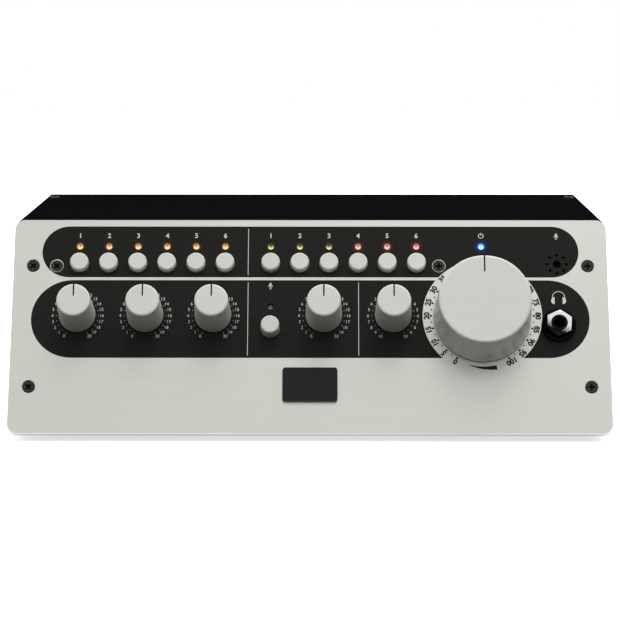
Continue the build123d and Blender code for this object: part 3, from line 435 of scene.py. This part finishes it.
# The lamp's own light on the ink round it: a coloured ring that fades outwards to nothing.
# Each colour from there to the lamp's hole
spillColours = {
    "amber": ("#000000", "#2C1606", "#582E0C"),
    "yellow": ("#000000", "#161204", "#2C2604"),
    "red": ("#000000", "#38100E", "#42100E"),
    "blue": ("#000000", "#110F40", "#142E90"),
}
litInk = {"colour": "#0F0F0D", "roughness": 0.5, "specular": 0.12, "stops": (0.0, 0.45, 1.0)}


def makeSpill(colour):
    k = litInk
    material, tree, shader = finish(
        colour + " light on the ink",
        k["colour"],
        k["roughness"],
        Specular_IOR_Level=k["specular"],
        Emission_Strength=1.0,
    )
    shine(tree, shader, spillColours[colour], k["stops"])
    return material


aluminium = makeBrushedAluminium()
coatedCover = makePowderCoat("cover")
coatedChassis = makePowderCoat("chassis")
lacquer = makeKnobLacquer()
greyAbs = makeButtonAbs()
blackInk, lightInk, letterInk, pointerInk = [makeInk(key) for key in inks]
plain = {key: makePlainFinish(key) for key in plainFinishes}
lenses = {colour: makeLens(colour) for colour in lensColours}
spills = {colour: makeSpill(colour) for colour in spillColours}
print("materials made")

nodeFinishes = {
    aluminium: ["front_panel"],
    coatedCover: ["top_cover"],
    coatedChassis: ["bottom_chassis", "rear_panel"],
    lacquer: list(knobColumns),
    greyAbs: [name for name in nodes if "_button" in name],
    plain["zincPlate"]: ["control_bracket", "transformer_clamp", "pan_screws"],
    plain["blackOxide"]: ["case_screws"],
    makeScrewFinish("panel_screws"): ["panel_screws"],
    makeScrewFinish("bracket_screws"): ["bracket_screws"],
    plain["nickelCan"]: ["potentiometers", "pot_nuts"],
    plain["turnedSteel"]: [name for name in nodes if "_shaft" in name],
    plain["turnedBrass"]: ["board_posts"],
    plain["badgePlastic"]: ["badge_plate"],
    plain["socketBlack"]: ["headphone_jack"],
    plain["mouldedBlack"]: ["switch_bodies", "rear_jacks", "mains_inlet", "rocker_frame"],
    plain["washerBlack"]: ["headphone_washer"],
    plain["glossBlack"]: ["capacitors", "power_rocker"],
    plain["rubber"]: ["feet", "mic_ring"],
    plain["circuitBoard"]: ["control_board", "main_board"],
    plain["ribbon"]: ["ribbon_cable"],
    plain["windingTape"]: ["transformer"],
    plain["capsuleFelt"]: ["mic_capsule"],
    makeNutChrome(headphones): ["headphone_nut"],
    plain["nickelNut"]: ["rear_jack_nuts"],
}
for material, members in nodeFinishes.items():
    for member in members:
        for materialSlot in nodes[member].material_slots:
            materialSlot.material = material
print("CAD nodes finished")


def arc(x, y, radius, start, end, steps=24):
    # points on an arc, angles in degrees
    turns = [radians(start + (end - start) * i / steps) for i in range(steps + 1)]
    return [(x + radius * cos(a), y + radius * sin(a)) for a in turns]


def ring(x, y, radius, steps=32):
    return arc(x, y, radius, 0, 360, steps)[:-1]


def bar(x, y, width, height):
    return [
        (x - width / 2, y - height / 2),
        (x + width / 2, y - height / 2),
        (x + width / 2, y + height / 2),
        (x - width / 2, y + height / 2),
    ]


def band(x, y, inner, outer, start, end, steps=24):
    # a strip along an arc
    return arc(x, y, outer, start, end, steps) + arc(x, y, inner, end, start, steps)


def filled(loops, low, high):
    # closed outlines in mm, each one inside another as a hole in it, as a slab from low to high
    curve = bpy.data.curves.new("outline", "CURVE")
    curve.dimensions = "2D"
    curve.fill_mode = "BOTH"
    curve.extrude = (high - low) / 2
    for loop in loops:
        spline = curve.splines.new("POLY")
        spline.points.add(len(loop) - 1)
        for point, (x, y) in zip(spline.points, loop):
            point.co = (x, y, 0, 1)
        spline.use_cyclic_u = True
    return slab(curve, low, high)


def slab(curve, low, high):
    # the curve's mesh, its middle moved from 0 to between low and high
    holder = bpy.data.objects.new("holder", curve)
    bpy.context.scene.collection.objects.link(holder)
    bpy.context.view_layer.update()
    mesh = bpy.data.meshes.new_from_object(
        holder.evaluated_get(bpy.context.evaluated_depsgraph_get())
    )
    bpy.data.objects.remove(holder)
    bpy.data.curves.remove(curve)
    mesh.transform(Matrix.Translation((0, 0, (low + high) / 2)))
    return mesh


figureShare = 0.7  # the built-in font's figures are about that share of its size
numberWeight = 0.03  # how far the figures' strokes are widened, as a share of their height


def digits(text, x, y, height, turn, low, high, weight=numberWeight):
    # plain numbers, centred at x, y, their tops turned anticlockwise by turn degrees
    curve = bpy.data.curves.new("digits", "FONT")
    curve.body = text
    curve.size = height / figureShare
    curve.offset = weight * height
    curve.resolution_u = 3
    curve.extrude = (high - low) / 2
    mesh = slab(curve, low, high)
    xs = [v.co.x for v in mesh.vertices]
    ys = [v.co.y for v in mesh.vertices]
    centre = Vector(((min(xs) + max(xs)) / 2, (min(ys) + max(ys)) / 2, 0))
    mesh.transform(Matrix.Translation(-centre))
    mesh.transform(Matrix.Translation((x, y, 0)) @ Matrix.Rotation(radians(turn), 4, "Z"))
    return mesh


weld = 0.0005  # points this close, in mm, become one


def addPiece(name, meshes, place, material, body):
    # one piece from several meshes in the frame's mm, riding on a body
    builder = bmesh.new()
    for mesh in meshes:
        builder.from_mesh(mesh)
        bpy.data.meshes.remove(mesh)
    bmesh.ops.remove_doubles(builder, verts=builder.verts, dist=weld)
    bmesh.ops.recalc_face_normals(builder, faces=builder.faces)
    joined = bpy.data.meshes.new(name)
    builder.to_mesh(joined)
    builder.free()
    joined.transform(place)
    joined.materials.append(material)
    piece = bpy.data.objects.new(name, joined)
    bpy.context.scene.collection.objects.link(piece)
    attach(piece, body)
    return piece


# Heights of the ink above the panel. The marks start a little inside the film under them, and
# the lamps' light lies a little over it.
ink = {"film": 0.05, "marks": 0.08, "inside": 0.01, "over": 0.01}

# Black fields: two pills with bare lines between their groups, cut away round the volume disc
fields = {
    "upperHalf": 149.25,
    "upperLow": 90.8,
    "upperHigh": 121.0,
    "lowerHalf": 154.2,
    "lowerLow": 43.65,
    "lowerHigh": 89.05,
    "volumeDisc": 33.0,
    "lineWidth": 0.33,
    "lineEnd": 1.3,
    "upperLine": -34.5,
    "lowerLines": (-34.4, 26.8),
    "buttonHole": 5.4,
    "lampHole": 1.8,
    "shaftHole": 6.3,
    "screwRing": 3.75,
    "socketHole": 8.9,
    "microphoneHole": 2.25,
    "microphoneCircle": 5.4,
    "soundHoles": 8,
    "soundHole": 0.85,
    # the sleeves are painted shade: black ink put down the walls of the microphone's holes
    "sleeve": 0.9,  # the walls of the holes' ink, in the panel's own holes
    "middleSleeve": 2.35,
    "sleeveWall": 0.05,
    "sleeveDepth": -2.8,
}


def discAngle(level):
    # the angle at which the volume's disc crosses a level, right of its column
    return degrees(asin((level - rows["knobs"]) / fields["volumeDisc"]))


def discEdge(start, end, steps=24):
    return arc(volumeColumn, rows["knobs"], fields["volumeDisc"], start, end, steps)


def makeFieldOutlines():
    f = fields
    upperRound = (f["upperHigh"] - f["upperLow"]) / 2
    lowerRound = (f["lowerHigh"] - f["lowerLow"]) / 2
    upperMiddle = (f["upperHigh"] + f["upperLow"]) / 2
    lowerMiddle = (f["lowerHigh"] + f["lowerLow"]) / 2
    upperCut = discAngle(f["upperLow"])
    topCut = discAngle(f["lowerHigh"])
    bottomCut = discAngle(f["lowerLow"])
    upper = (
        arc(f["upperHalf"] - upperRound, upperMiddle, upperRound, -90, 90)
        + arc(upperRound - f["upperHalf"], upperMiddle, upperRound, 90, 270)
        + discEdge(180 - upperCut, upperCut)
    )
    leftEnd = arc(lowerRound - f["lowerHalf"], lowerMiddle, lowerRound, 90, 270)
    rightEnd = arc(f["lowerHalf"] - lowerRound, lowerMiddle, lowerRound, -90, 90)
    lowerLeft = leftEnd + discEdge(180 - bottomCut, 180 - topCut, steps=32)
    lowerRight = rightEnd + discEdge(topCut, bottomCut, steps=32)
    return [upper, lowerLeft, lowerRight]


def soundHole(i):
    # the middle of one of the microphone's small holes
    turn = 2 * pi * i / fields["soundHoles"]
    away = fields["microphoneCircle"]
    return microphone[0] + away * cos(turn), microphone[1] + away * sin(turn)


def makeFieldHoles():
    f = fields
    buttons = sourceButtons + monitorButtons + [talkButton]
    lamps = [(x, lampRow) for x, up in sourceButtons + monitorButtons] + [powerLamp, talkLamp]
    screwLow, screwHigh = panelBox("bracket_screws")
    screwRow = (screwLow.y + screwHigh.y) / 2
    headRadius = (screwHigh.y - screwLow.y) / 2
    screws = [(screwLow.x + headRadius, screwRow), (screwHigh.x - headRadius, screwRow)]
    holes = [ring(x, up, f["buttonHole"]) for x, up in buttons]
    holes += [ring(x, up, f["lampHole"], steps=24) for x, up in lamps]
    holes += [ring(knobColumns[name], rows["knobs"], f["shaftHole"]) for name in smallKnobs]
    holes += [ring(x, up, f["screwRing"]) for x, up in screws]
    holes += [ring(*headphones, f["socketHole"]), ring(*microphone, f["microphoneHole"], steps=24)]
    holes += [ring(*soundHole(i), f["soundHole"], steps=16) for i in range(f["soundHoles"])]
    levels = [(f["upperLine"], f["upperHigh"], f["upperLow"])]
    levels += [(x, f["lowerHigh"], f["lowerLow"]) for x in f["lowerLines"]]
    for x, high, low in levels:
        tall = high - low - 2 * f["lineEnd"]
        holes.append(bar(x, (high + low) / 2, f["lineWidth"], tall))
    return holes


addPiece(
    "printed_black_fields",
    [filled(makeFieldOutlines() + makeFieldHoles(), 0.0, ink["film"])],
    panelFrame,
    blackInk,
    "case",
)

# Painted shade: black sleeves inside the microphone's holes, the small ones and the one in their
# middle
shadeSleeves = [(soundHole(i), fields["sleeve"]) for i in range(fields["soundHoles"])]
shadeSleeves.append((microphone, fields["middleSleeve"]))
shadeSleeveMeshes = []
for place, bore in shadeSleeves:
    walls = [ring(*place, radius, steps=20) for radius in (bore, bore - fields["sleeveWall"])]
    shadeSleeveMeshes.append(filled(walls, fields["sleeveDepth"], ink["film"]))
addPiece("shade_painted_microphone_holes", shadeSleeveMeshes, panelFrame, blackInk, "case")
print("black fields printed")

# Scales: upright light numbers and dots round the small knobs, black ones round the volume knob
smallScale = {
    "numberRadius": 13.8,
    "dotRadius": 11.6,
    "numberHeight": 1.75,
    "weight": -0.005,
    "dot": 0.2,
    "start": 240,
    "step": 15,
    "count": 21,
}
volumeScale = {
    "numberRadius": 30.8,
    "dotRadius": 28.4,
    "numberHeight": 2.9,
    "weight": 0.07,
    "bigDot": 0.66,
    "smallDot": 0.42,
    "start": 240,
    "step": 15,
    "count": 21,
    "unit": 5,
}


def around(column, radius, angle):
    # a point round a knob, the angle in degrees
    turn = radians(angle)
    return column + radius * cos(turn), rows["knobs"] + radius * sin(turn)


markSpan = (ink["film"] - ink["inside"], ink["marks"])
lightMeshes = []
lightDots = []
s = smallScale
for name in smallKnobs:
    column = knobColumns[name]
    for i in range(s["count"]):
        angle = s["start"] - s["step"] * i
        # the blend knob's scale runs from its middle to both sides
        number = abs(i - s["count"] // 2) if name == "blend_knob" else i
        x, up = around(column, s["numberRadius"], angle)
        lightMeshes.append(
            digits(str(number), x, up, s["numberHeight"], 0, *markSpan, s["weight"])
        )
        lightDots.append(ring(*around(column, s["dotRadius"], angle), s["dot"], steps=10))

# Plain numbers over the buttons
buttonNumberHeight = 2.7
for group in (sourceButtons, monitorButtons):
    for i, (x, up) in enumerate(group):
        lightMeshes.append(
            digits(str(i + 1), x, rows["buttonNumbers"], buttonNumberHeight, 0, *markSpan)
        )

# A ring, open at its top, with a bar in the gap
powerMark = {
    "inner": 1.15,
    "outer": 1.55,
    "start": 120,
    "end": 420,
    "barUp": 0.95,
    "bar": (0.42, 1.5),
}


def powerSign(x, y):
    k = powerMark
    loop = band(x, y, k["inner"], k["outer"], k["start"], k["end"])
    return [loop, bar(x, y + k["barUp"], *k["bar"])]


# A pill in a cradle, on a stem with a foot
microphoneMark = {
    "pillTop": 0.8,
    "pillBottom": -0.1,
    "pillRound": 0.62,
    "cradleInner": 1.0,
    "cradleOuter": 1.3,
    "stemUp": -1.65,
    "stem": (0.32, 0.62),
    "footUp": -2.05,
    "foot": (1.3, 0.26),
}


def microphoneSign(x, y):
    k = microphoneMark
    pill = arc(x, y + k["pillTop"], k["pillRound"], 0, 180, steps=10)
    pill += arc(x, y + k["pillBottom"], k["pillRound"], 180, 360, steps=10)
    cradle = band(x, y, k["cradleInner"], k["cradleOuter"], 180, 360, steps=14)
    stem = bar(x, y + k["stemUp"], *k["stem"])
    foot = bar(x, y + k["footUp"], *k["foot"])
    return [pill, cradle, stem, foot]


# A head band with two ear cups, flat on their inner sides and a little right of the socket
headphoneMark = {
    "aside": 0.4,
    "bandUp": -0.3,
    "bandInner": 3.25,
    "bandOuter": 3.62,
    "bandStart": -8,
    "bandEnd": 188,
    "cupAway": 2.4,
    "cupUp": -2.2,
    "cupWidth": 1.75,
    "cupHalf": 2.0,
    "cupFlat": 0.1,
}


def headphoneSign(x, y):
    k = headphoneMark
    strap = band(
        x, y + k["bandUp"], k["bandInner"], k["bandOuter"], k["bandStart"], k["bandEnd"], steps=30
    )
    cup = arc(0, 0, 1.0, 90, -90, steps=12) + [(-k["cupFlat"], -1.0), (-k["cupFlat"], 1.0)]
    cups = []
    for side in (-1, 1):
        middle = x + side * k["cupAway"]
        wide, tall = side * k["cupWidth"], k["cupHalf"]
        cups.append([(middle + wide * px, y + k["cupUp"] + tall * py) for px, py in cup])
    return strap, cups


lightDots += powerSign(volumeColumn, rows["buttonNumbers"])
lightDots += microphoneSign(microphone[0], rows["buttonNumbers"])
lightDots += microphoneSign(talkButton[0], rows["talkSign"])
strap, cups = headphoneSign(headphones[0] + headphoneMark["aside"], rows["headphoneSign"])
lightMeshes += [filled(outlines, *markSpan) for outlines in ([strap], cups, lightDots)]
addPiece("printed_light_marks", lightMeshes, panelFrame, lightInk, "case")

filmSpan = (0.0, ink["film"])
darkMeshes = []
darkDots = []
v = volumeScale
for i in range(v["count"]):
    angle = v["start"] - v["step"] * i
    x, up = around(volumeColumn, v["numberRadius"], angle)
    number = str(i * v["unit"])
    darkMeshes.append(
        digits(number, x, up, v["numberHeight"], angle - 90, *filmSpan, v["weight"])
    )
    darkDots.append(ring(*around(volumeColumn, v["dotRadius"], angle), v["bigDot"], steps=16))
    if i < v["count"] - 1:
        between = around(volumeColumn, v["dotRadius"], angle - v["step"] / 2)
        darkDots.append(ring(*between, v["smallDot"], steps=12))

# A rising wedge under the volume knob in place of a word
wedge = {"radius": 30.8, "start": 256, "end": 284, "thin": 0.3, "thick": 2.6, "steps": 28}
w = wedge
inside = w["radius"] - w["thick"] / 2
wedgeOutline = arc(volumeColumn, rows["knobs"], inside, w["start"], w["end"], w["steps"])
for i in range(w["steps"] + 1):
    share = i / w["steps"]
    angle = w["end"] + (w["start"] - w["end"]) * share
    width = w["thick"] + (w["thin"] - w["thick"]) * share
    wedgeOutline.append(around(volumeColumn, inside + width, angle))
darkMeshes += [filled(outlines, *filmSpan) for outlines in ([wedgeOutline], darkDots)]
addPiece("printed_volume_scale", darkMeshes, panelFrame, letterInk, "case")
print("scales and numbers printed")

# Black paint in each knob's pointer groove and over the rim beyond it. For each kind of knob:
# the groove's inner end and the start of the rim's round, from the middle, and the round's radius
pointers = {
    "width": 0.8,
    "floor": -0.3,
    "top": -0.06,
    "overRim": 0.03,
    "rimEnd": 15,
    "small": (2.2, 8.14, 1.1),
    "volume": (15.6, 23.98, 1.3),
}
# turns an outline from x, y to up the panel and out from it
sideways = Matrix(((0, 0, 1), (1, 0, 0), (0, 1, 0))).to_4x4()


def pointerPaint(inner, flatEnd, rimRound):
    # the paint's side outline, from the groove along the face and down over the rim
    k = pointers
    groove = [(inner, k["floor"]), (inner, k["top"]), (flatEnd, k["top"])]
    outside = arc(flatEnd, -rimRound, rimRound + k["overRim"], 90, k["rimEnd"], steps=8)
    inside = arc(flatEnd, -rimRound, rimRound + k["floor"], k["rimEnd"], 90, steps=8)
    paint = filled([groove + outside + inside], -k["width"] / 2, k["width"] / 2)
    paint.transform(sideways)
    return paint


for name, column in knobColumns.items():
    paint = pointerPaint(*pointers["volume" if name == "volume_knob" else "small"])
    paint.transform(Matrix.Translation((column, rows["knobs"], panelBox(name)[1].z)))
    addPiece(name + "_pointer", [paint], panelFrame, pointerInk, name)
print("pointers painted")

# Lamps: a flanged epoxy lens with a round nose, and two legs down to the control board
lamp = {
    "radius": 1.6,
    "flangeRadius": 2.05,
    "flange": 1.0,
    "nose": -0.3,
    "foot": -5.8,
    "board": -17.0,
    "leg": 0.6,
    "legSpacing": 2.54,
    "chipUp": 0.5,
    "rings": 14,
    "sides": 28,
    "spillRings": 7,
    "spillFade": 1.5,  # over 1, the light falls off quickest beside the lamp
}
# How each colour shines: its level in the lens's middle, how much that falls towards the upper
# edge, how dark and how wide the chip is, and how far its light reaches over the ink, in mm
lampLight = {
    "amber": {"level": 0.76, "fall": 0.3, "chipDepth": 1.0, "chipSize": 0.48, "reach": 3.4},
    "yellow": {"level": 0.64, "fall": 0.4, "chipDepth": 1.1, "chipSize": 0.66, "reach": 3.0},
    "red": {"level": 0.72, "fall": 0.25, "chipDepth": 1.0, "chipSize": 0.55, "reach": 4.2},
    "blue": {"level": 0.7, "fall": 0.2, "chipDepth": 0.5, "chipSize": 0.48, "reach": 5.2},
    # the clear lens's glow is a painted reflection on a dark lamp
    "clear": {"level": 0.38, "fall": 0.5, "chipDepth": 0.8, "chipSize": 0.8},
}


def glowAt(x, up, colour):
    # how brightly the lens shines at a point on its nose: dark on the chip, palest below it
    k = lampLight[colour]
    pale = k["level"] - k["fall"] * up / lamp["radius"]
    away = (x**2 + (up - lamp["chipUp"]) ** 2) / k["chipSize"] ** 2
    return min(1.0, max(0.0, pale - k["chipDepth"] * exp(-away)))


def addLeg(builder, x):
    k = lamp
    made = bmesh.ops.create_cube(builder, size=1.0)["verts"]
    tall = k["foot"] - k["board"]
    bmesh.ops.scale(builder, vec=(k["leg"], k["leg"], tall), verts=made)
    bmesh.ops.translate(builder, vec=(x, 0, k["board"] + tall / 2), verts=made)


def addRound(builder, x, y, radius, height):
    return [builder.verts.new((*point, height)) for point in ring(x, y, radius, lamp["sides"])]


def joinRounds(builder, rounds):
    # faces between each round of points and the next
    for inner, outer in zip(rounds, rounds[1:]):
        for i in range(lamp["sides"]):
            builder.faces.new((inner[i - 1], outer[i - 1], outer[i], inner[i]))


def lensMesh(x, up, colour):
    # rounds from the foot up to the nose, closed at both ends
    k = lamp
    shoulder = k["nose"] - k["radius"]
    step = k["foot"] + k["flange"]
    profile = [(k["flangeRadius"], k["foot"]), (k["flangeRadius"], step), (k["radius"], step)]
    profile += arc(0, shoulder, k["radius"], 0, 90, steps=k["rings"])[:-1]
    builder = bmesh.new()
    glow = builder.verts.layers.float.new("glow")
    rounds = [addRound(builder, 0, 0, radius, height) for radius, height in profile]
    joinRounds(builder, rounds)
    for loop, height in ((rounds[0], k["foot"]), (rounds[-1], k["nose"])):
        middle = builder.verts.new((0, 0, height))
        for i in range(k["sides"]):
            builder.faces.new((loop[i - 1], loop[i], middle))
    for vertex in builder.verts:
        if vertex.co.z >= shoulder:
            vertex[glow] = glowAt(vertex.co.x, vertex.co.y, colour)
    for face in builder.faces:
        face.smooth = face.calc_center_median().z > step
    for side in (-1, 1):
        addLeg(builder, side * k["legSpacing"] / 2)
    bmesh.ops.translate(builder, vec=(x, up, 0), verts=builder.verts)
    mesh = bpy.data.meshes.new("lens")
    builder.to_mesh(mesh)
    builder.free()
    return mesh


def spillMesh(x, up, reach):
    # a flat ring from the lamp's hole outwards, its glow fading from 1 to 0
    start, steps = fields["lampHole"], lamp["spillRings"]
    height = ink["film"] + ink["over"]
    builder = bmesh.new()
    glow = builder.verts.layers.float.new("glow")
    rounds = []
    for i in range(steps + 1):
        rounds.append(addRound(builder, x, up, start + (reach - start) * i / steps, height))
        for vertex in rounds[-1]:
            vertex[glow] = (1 - i / steps) ** lamp["spillFade"]
    joinRounds(builder, rounds)
    mesh = bpy.data.meshes.new("spill")
    builder.to_mesh(mesh)
    builder.free()
    return mesh


lampPlaces = {
    "amber": [(x, lampRow) for x, up in sourceButtons],
    "yellow": [(x, lampRow) for x, up in monitorButtons[:yellowLamps]],
    "red": [(x, lampRow) for x, up in monitorButtons[yellowLamps:]],
    "blue": [powerLamp],
    "clear": [talkLamp],
}
# each group of lamps: the node it stands for, its colour and its slot
lampGroups = {
    "source_lamps": ("source_leds", "amber", "amber_lens"),
    "monitor_lamps": ("source_leds", "yellow", "amber_lens"),
    "red_lamps": ("red_leds", "red", "red_lens"),
    "power_lamp": ("power_led", "blue", "blue_lens"),
    "talk_lamp": ("talk_led", "clear", "clear_lens"),
}
for name, (node, colour, slotName) in lampGroups.items():
    meshes = [lensMesh(x, up, colour) for x, up in lampPlaces[colour]]
    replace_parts(addPiece(name, meshes, panelFrame, lenses[colour], "case"), node)
for colour, material in spills.items():
    rings = [spillMesh(x, up, lampLight[colour]["reach"]) for x, up in lampPlaces[colour]]
    addPiece(f"{colour}_light_spill", rings, panelFrame, material, "case")
print("lamps made")

# Plain numbers over the rear sockets
rear = {"sockets": 8, "nutHalf": 7.5, "numberHeight": 3.4, "numberUp": 12.5, "film": 0.06}
jackLow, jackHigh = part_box("rear_jacks")
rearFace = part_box("rear_panel")[1].y
rearFrame = Matrix(((-1, 0, 0), (0, 0, 1), (0, 1, 0))).transposed().to_4x4()
rearFrame.translation = Vector((0, rearFace, (jackLow.z + jackHigh.z) / 2))
rearFrame = rearFrame @ Matrix.Scale(mm, 4)
nutLow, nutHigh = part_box("rear_jack_nuts")
firstSocket = nutHigh.x / mm - rear["nutHalf"]
lastSocket = nutLow.x / mm + rear["nutHalf"]
socketPitch = (lastSocket - firstSocket) / (rear["sockets"] - 1)
rearNumbers = []
for i in range(rear["sockets"]):
    x = -(firstSocket + socketPitch * i)
    rearNumbers.append(
        digits(str(i + 1), x, rear["numberUp"], rear["numberHeight"], 0, 0.0, rear["film"])
    )
addPiece("printed_rear_numbers", rearNumbers, rearFrame, lightInk, "case")
print("rear numbers printed")


# The floor, the light and the camera, in metres
stage = {
    "floorSize": 6.0,
    "floorColour": "#3A3A3A",  # what the floor throws back onto the object
    "seenColour": 0.8,
    "seenLift": 0.7,  # light added to the floor for the eye, full white from "whiteFrom" outwards
    "fadeFrom": 0.3,
    "whiteFrom": 0.75,
    "skyLow": 0.1,  # the room's light on the object, at the horizon and overhead
    "skyHigh": 1.6,
}
white = (1, 1, 1, 1)


def eyeRays(tree):
    # 1 on the way from the eye, by way of gloss and glass too, and 0 after a matt surface
    path = addNode(tree, "ShaderNodeLightPath")
    both = addNode(
        tree,
        "ShaderNodeMath",
        {0: path.outputs["Is Camera Ray"], 1: path.outputs["Is Glossy Ray"]},
        operation="MAXIMUM",
    )
    every = addNode(
        tree,
        "ShaderNodeMath",
        {0: both.outputs[0], 1: path.outputs["Is Transmission Ray"]},
        operation="MAXIMUM",
    )
    first = addNode(
        tree, "ShaderNodeMath", {0: path.outputs["Diffuse Depth"], 1: 0.5}, operation="LESS_THAN"
    )
    direct = addNode(
        tree, "ShaderNodeMath", {0: every.outputs[0], 1: first.outputs[0]}, operation="MULTIPLY"
    )
    return direct.outputs[0]


def makePaper():
    paper = bpy.data.materials.new("white paper sweep")
    paper.use_nodes = True
    tree = paper.node_tree
    tree.nodes.clear()
    place = addNode(tree, "ShaderNodeTexCoord").outputs["Object"]
    away = addNode(tree, "ShaderNodeVectorMath", {0: place}, operation="LENGTH").outputs["Value"]
    span = {"From Min": stage["fadeFrom"], "From Max": stage["whiteFrom"]}
    span |= {"Value": away, "To Min": stage["seenLift"], "To Max": 1.0}
    fade = addNode(tree, "ShaderNodeMapRange", span, interpolation_type="SMOOTHSTEP")
    lift = addNode(tree, "ShaderNodeEmission", {"Strength": fade.outputs["Result"]})
    seen = addNode(tree, "ShaderNodeBsdfDiffuse", {"Color": [stage["seenColour"]] * 3 + [1]})
    lifted = addNode(tree, "ShaderNodeAddShader", {0: lift.outputs[0], 1: seen.outputs[0]})
    bounced = addNode(tree, "ShaderNodeBsdfDiffuse", {"Color": linear(stage["floorColour"])})
    sides = {0: eyeRays(tree), 1: bounced.outputs["BSDF"], 2: lifted.outputs["Shader"]}
    mixed = addNode(tree, "ShaderNodeMixShader", sides)
    addNode(tree, "ShaderNodeOutputMaterial", {"Surface": mixed.outputs["Shader"]})
    return paper


def makeRoom():
    # white for the eye, and soft light from above for the object
    world = bpy.data.worlds.new("studio")
    world.use_nodes = True
    tree = world.node_tree
    tree.nodes.clear()
    seen = addNode(tree, "ShaderNodeBackground", {"Color": white, "Strength": 1.0})
    direction = addNode(tree, "ShaderNodeTexCoord").outputs["Generated"]
    height = addNode(tree, "ShaderNodeSeparateXYZ", {"Vector": direction}).outputs["Z"]
    span = {"Value": height, "To Min": stage["skyLow"], "To Max": stage["skyHigh"]}
    sky = addNode(tree, "ShaderNodeMapRange", span).outputs["Result"]
    ambient = addNode(tree, "ShaderNodeBackground", {"Color": white, "Strength": sky})
    sides = {0: eyeRays(tree), 1: ambient.outputs["Background"], 2: seen.outputs["Background"]}
    mixed = addNode(tree, "ShaderNodeMixShader", sides)
    addNode(tree, "ShaderNodeOutputWorld", {"Surface": mixed.outputs["Shader"]})
    return world


half = stage["floorSize"] / 2
corners = [(-half, -half, 0), (half, -half, 0), (half, half, 0), (-half, half, 0)]
floorMesh = bpy.data.meshes.new("floor")
floorMesh.from_pydata(corners, [], [(0, 1, 2, 3)])
floorMesh.materials.append(makePaper())
floor = bpy.data.objects.new("floor", floorMesh)
bpy.context.scene.collection.objects.link(floor)
bpy.context.scene.world = makeRoom()

# One soft box over the front: its place, the point that it faces, its size and power in watts
softBox = {
    "place": (0.3, -0.25, 1.5),
    "target": (0.0, -0.05, 0.05),
    "width": 1.0,
    "depth": 0.6,
    "power": 7.0,
}
light = bpy.data.lights.new("key", "AREA")
light.shape = "RECTANGLE"
light.size, light.size_y = softBox["width"], softBox["depth"]
light.energy = softBox["power"]
keyLight = bpy.data.objects.new("key", light)
keyLight.location = softBox["place"]
facing = Vector(softBox["target"]) - Vector(softBox["place"])
keyLight.rotation_euler = facing.to_track_quat("-Z", "Y").to_euler()
bpy.context.scene.collection.objects.link(keyLight)

# The camera's place is measured from the middle of the panel's lower edge, its pitch and turn
# are in degrees, and its lens and sensor in mm
shot = {
    "fromPanel": (0.008554, -1.410759, 0.253594),
    "pitch": 82.507,
    "turn": 0.3425,
    "lens": 152.95,
    "sensor": 36.0,
}
camera = bpy.data.objects.new("camera", bpy.data.cameras.new("camera"))
camera.location = panelFoot + Vector(shot["fromPanel"])
camera.rotation_euler = (radians(shot["pitch"]), 0, radians(shot["turn"]))
camera.data.lens = shot["lens"]
camera.data.sensor_width = shot["sensor"]
camera.data.sensor_fit = "HORIZONTAL"
bpy.context.scene.collection.objects.link(camera)
bpy.context.scene.camera = camera
bpy.context.scene.view_settings.view_transform = "Standard"
print("stage set")
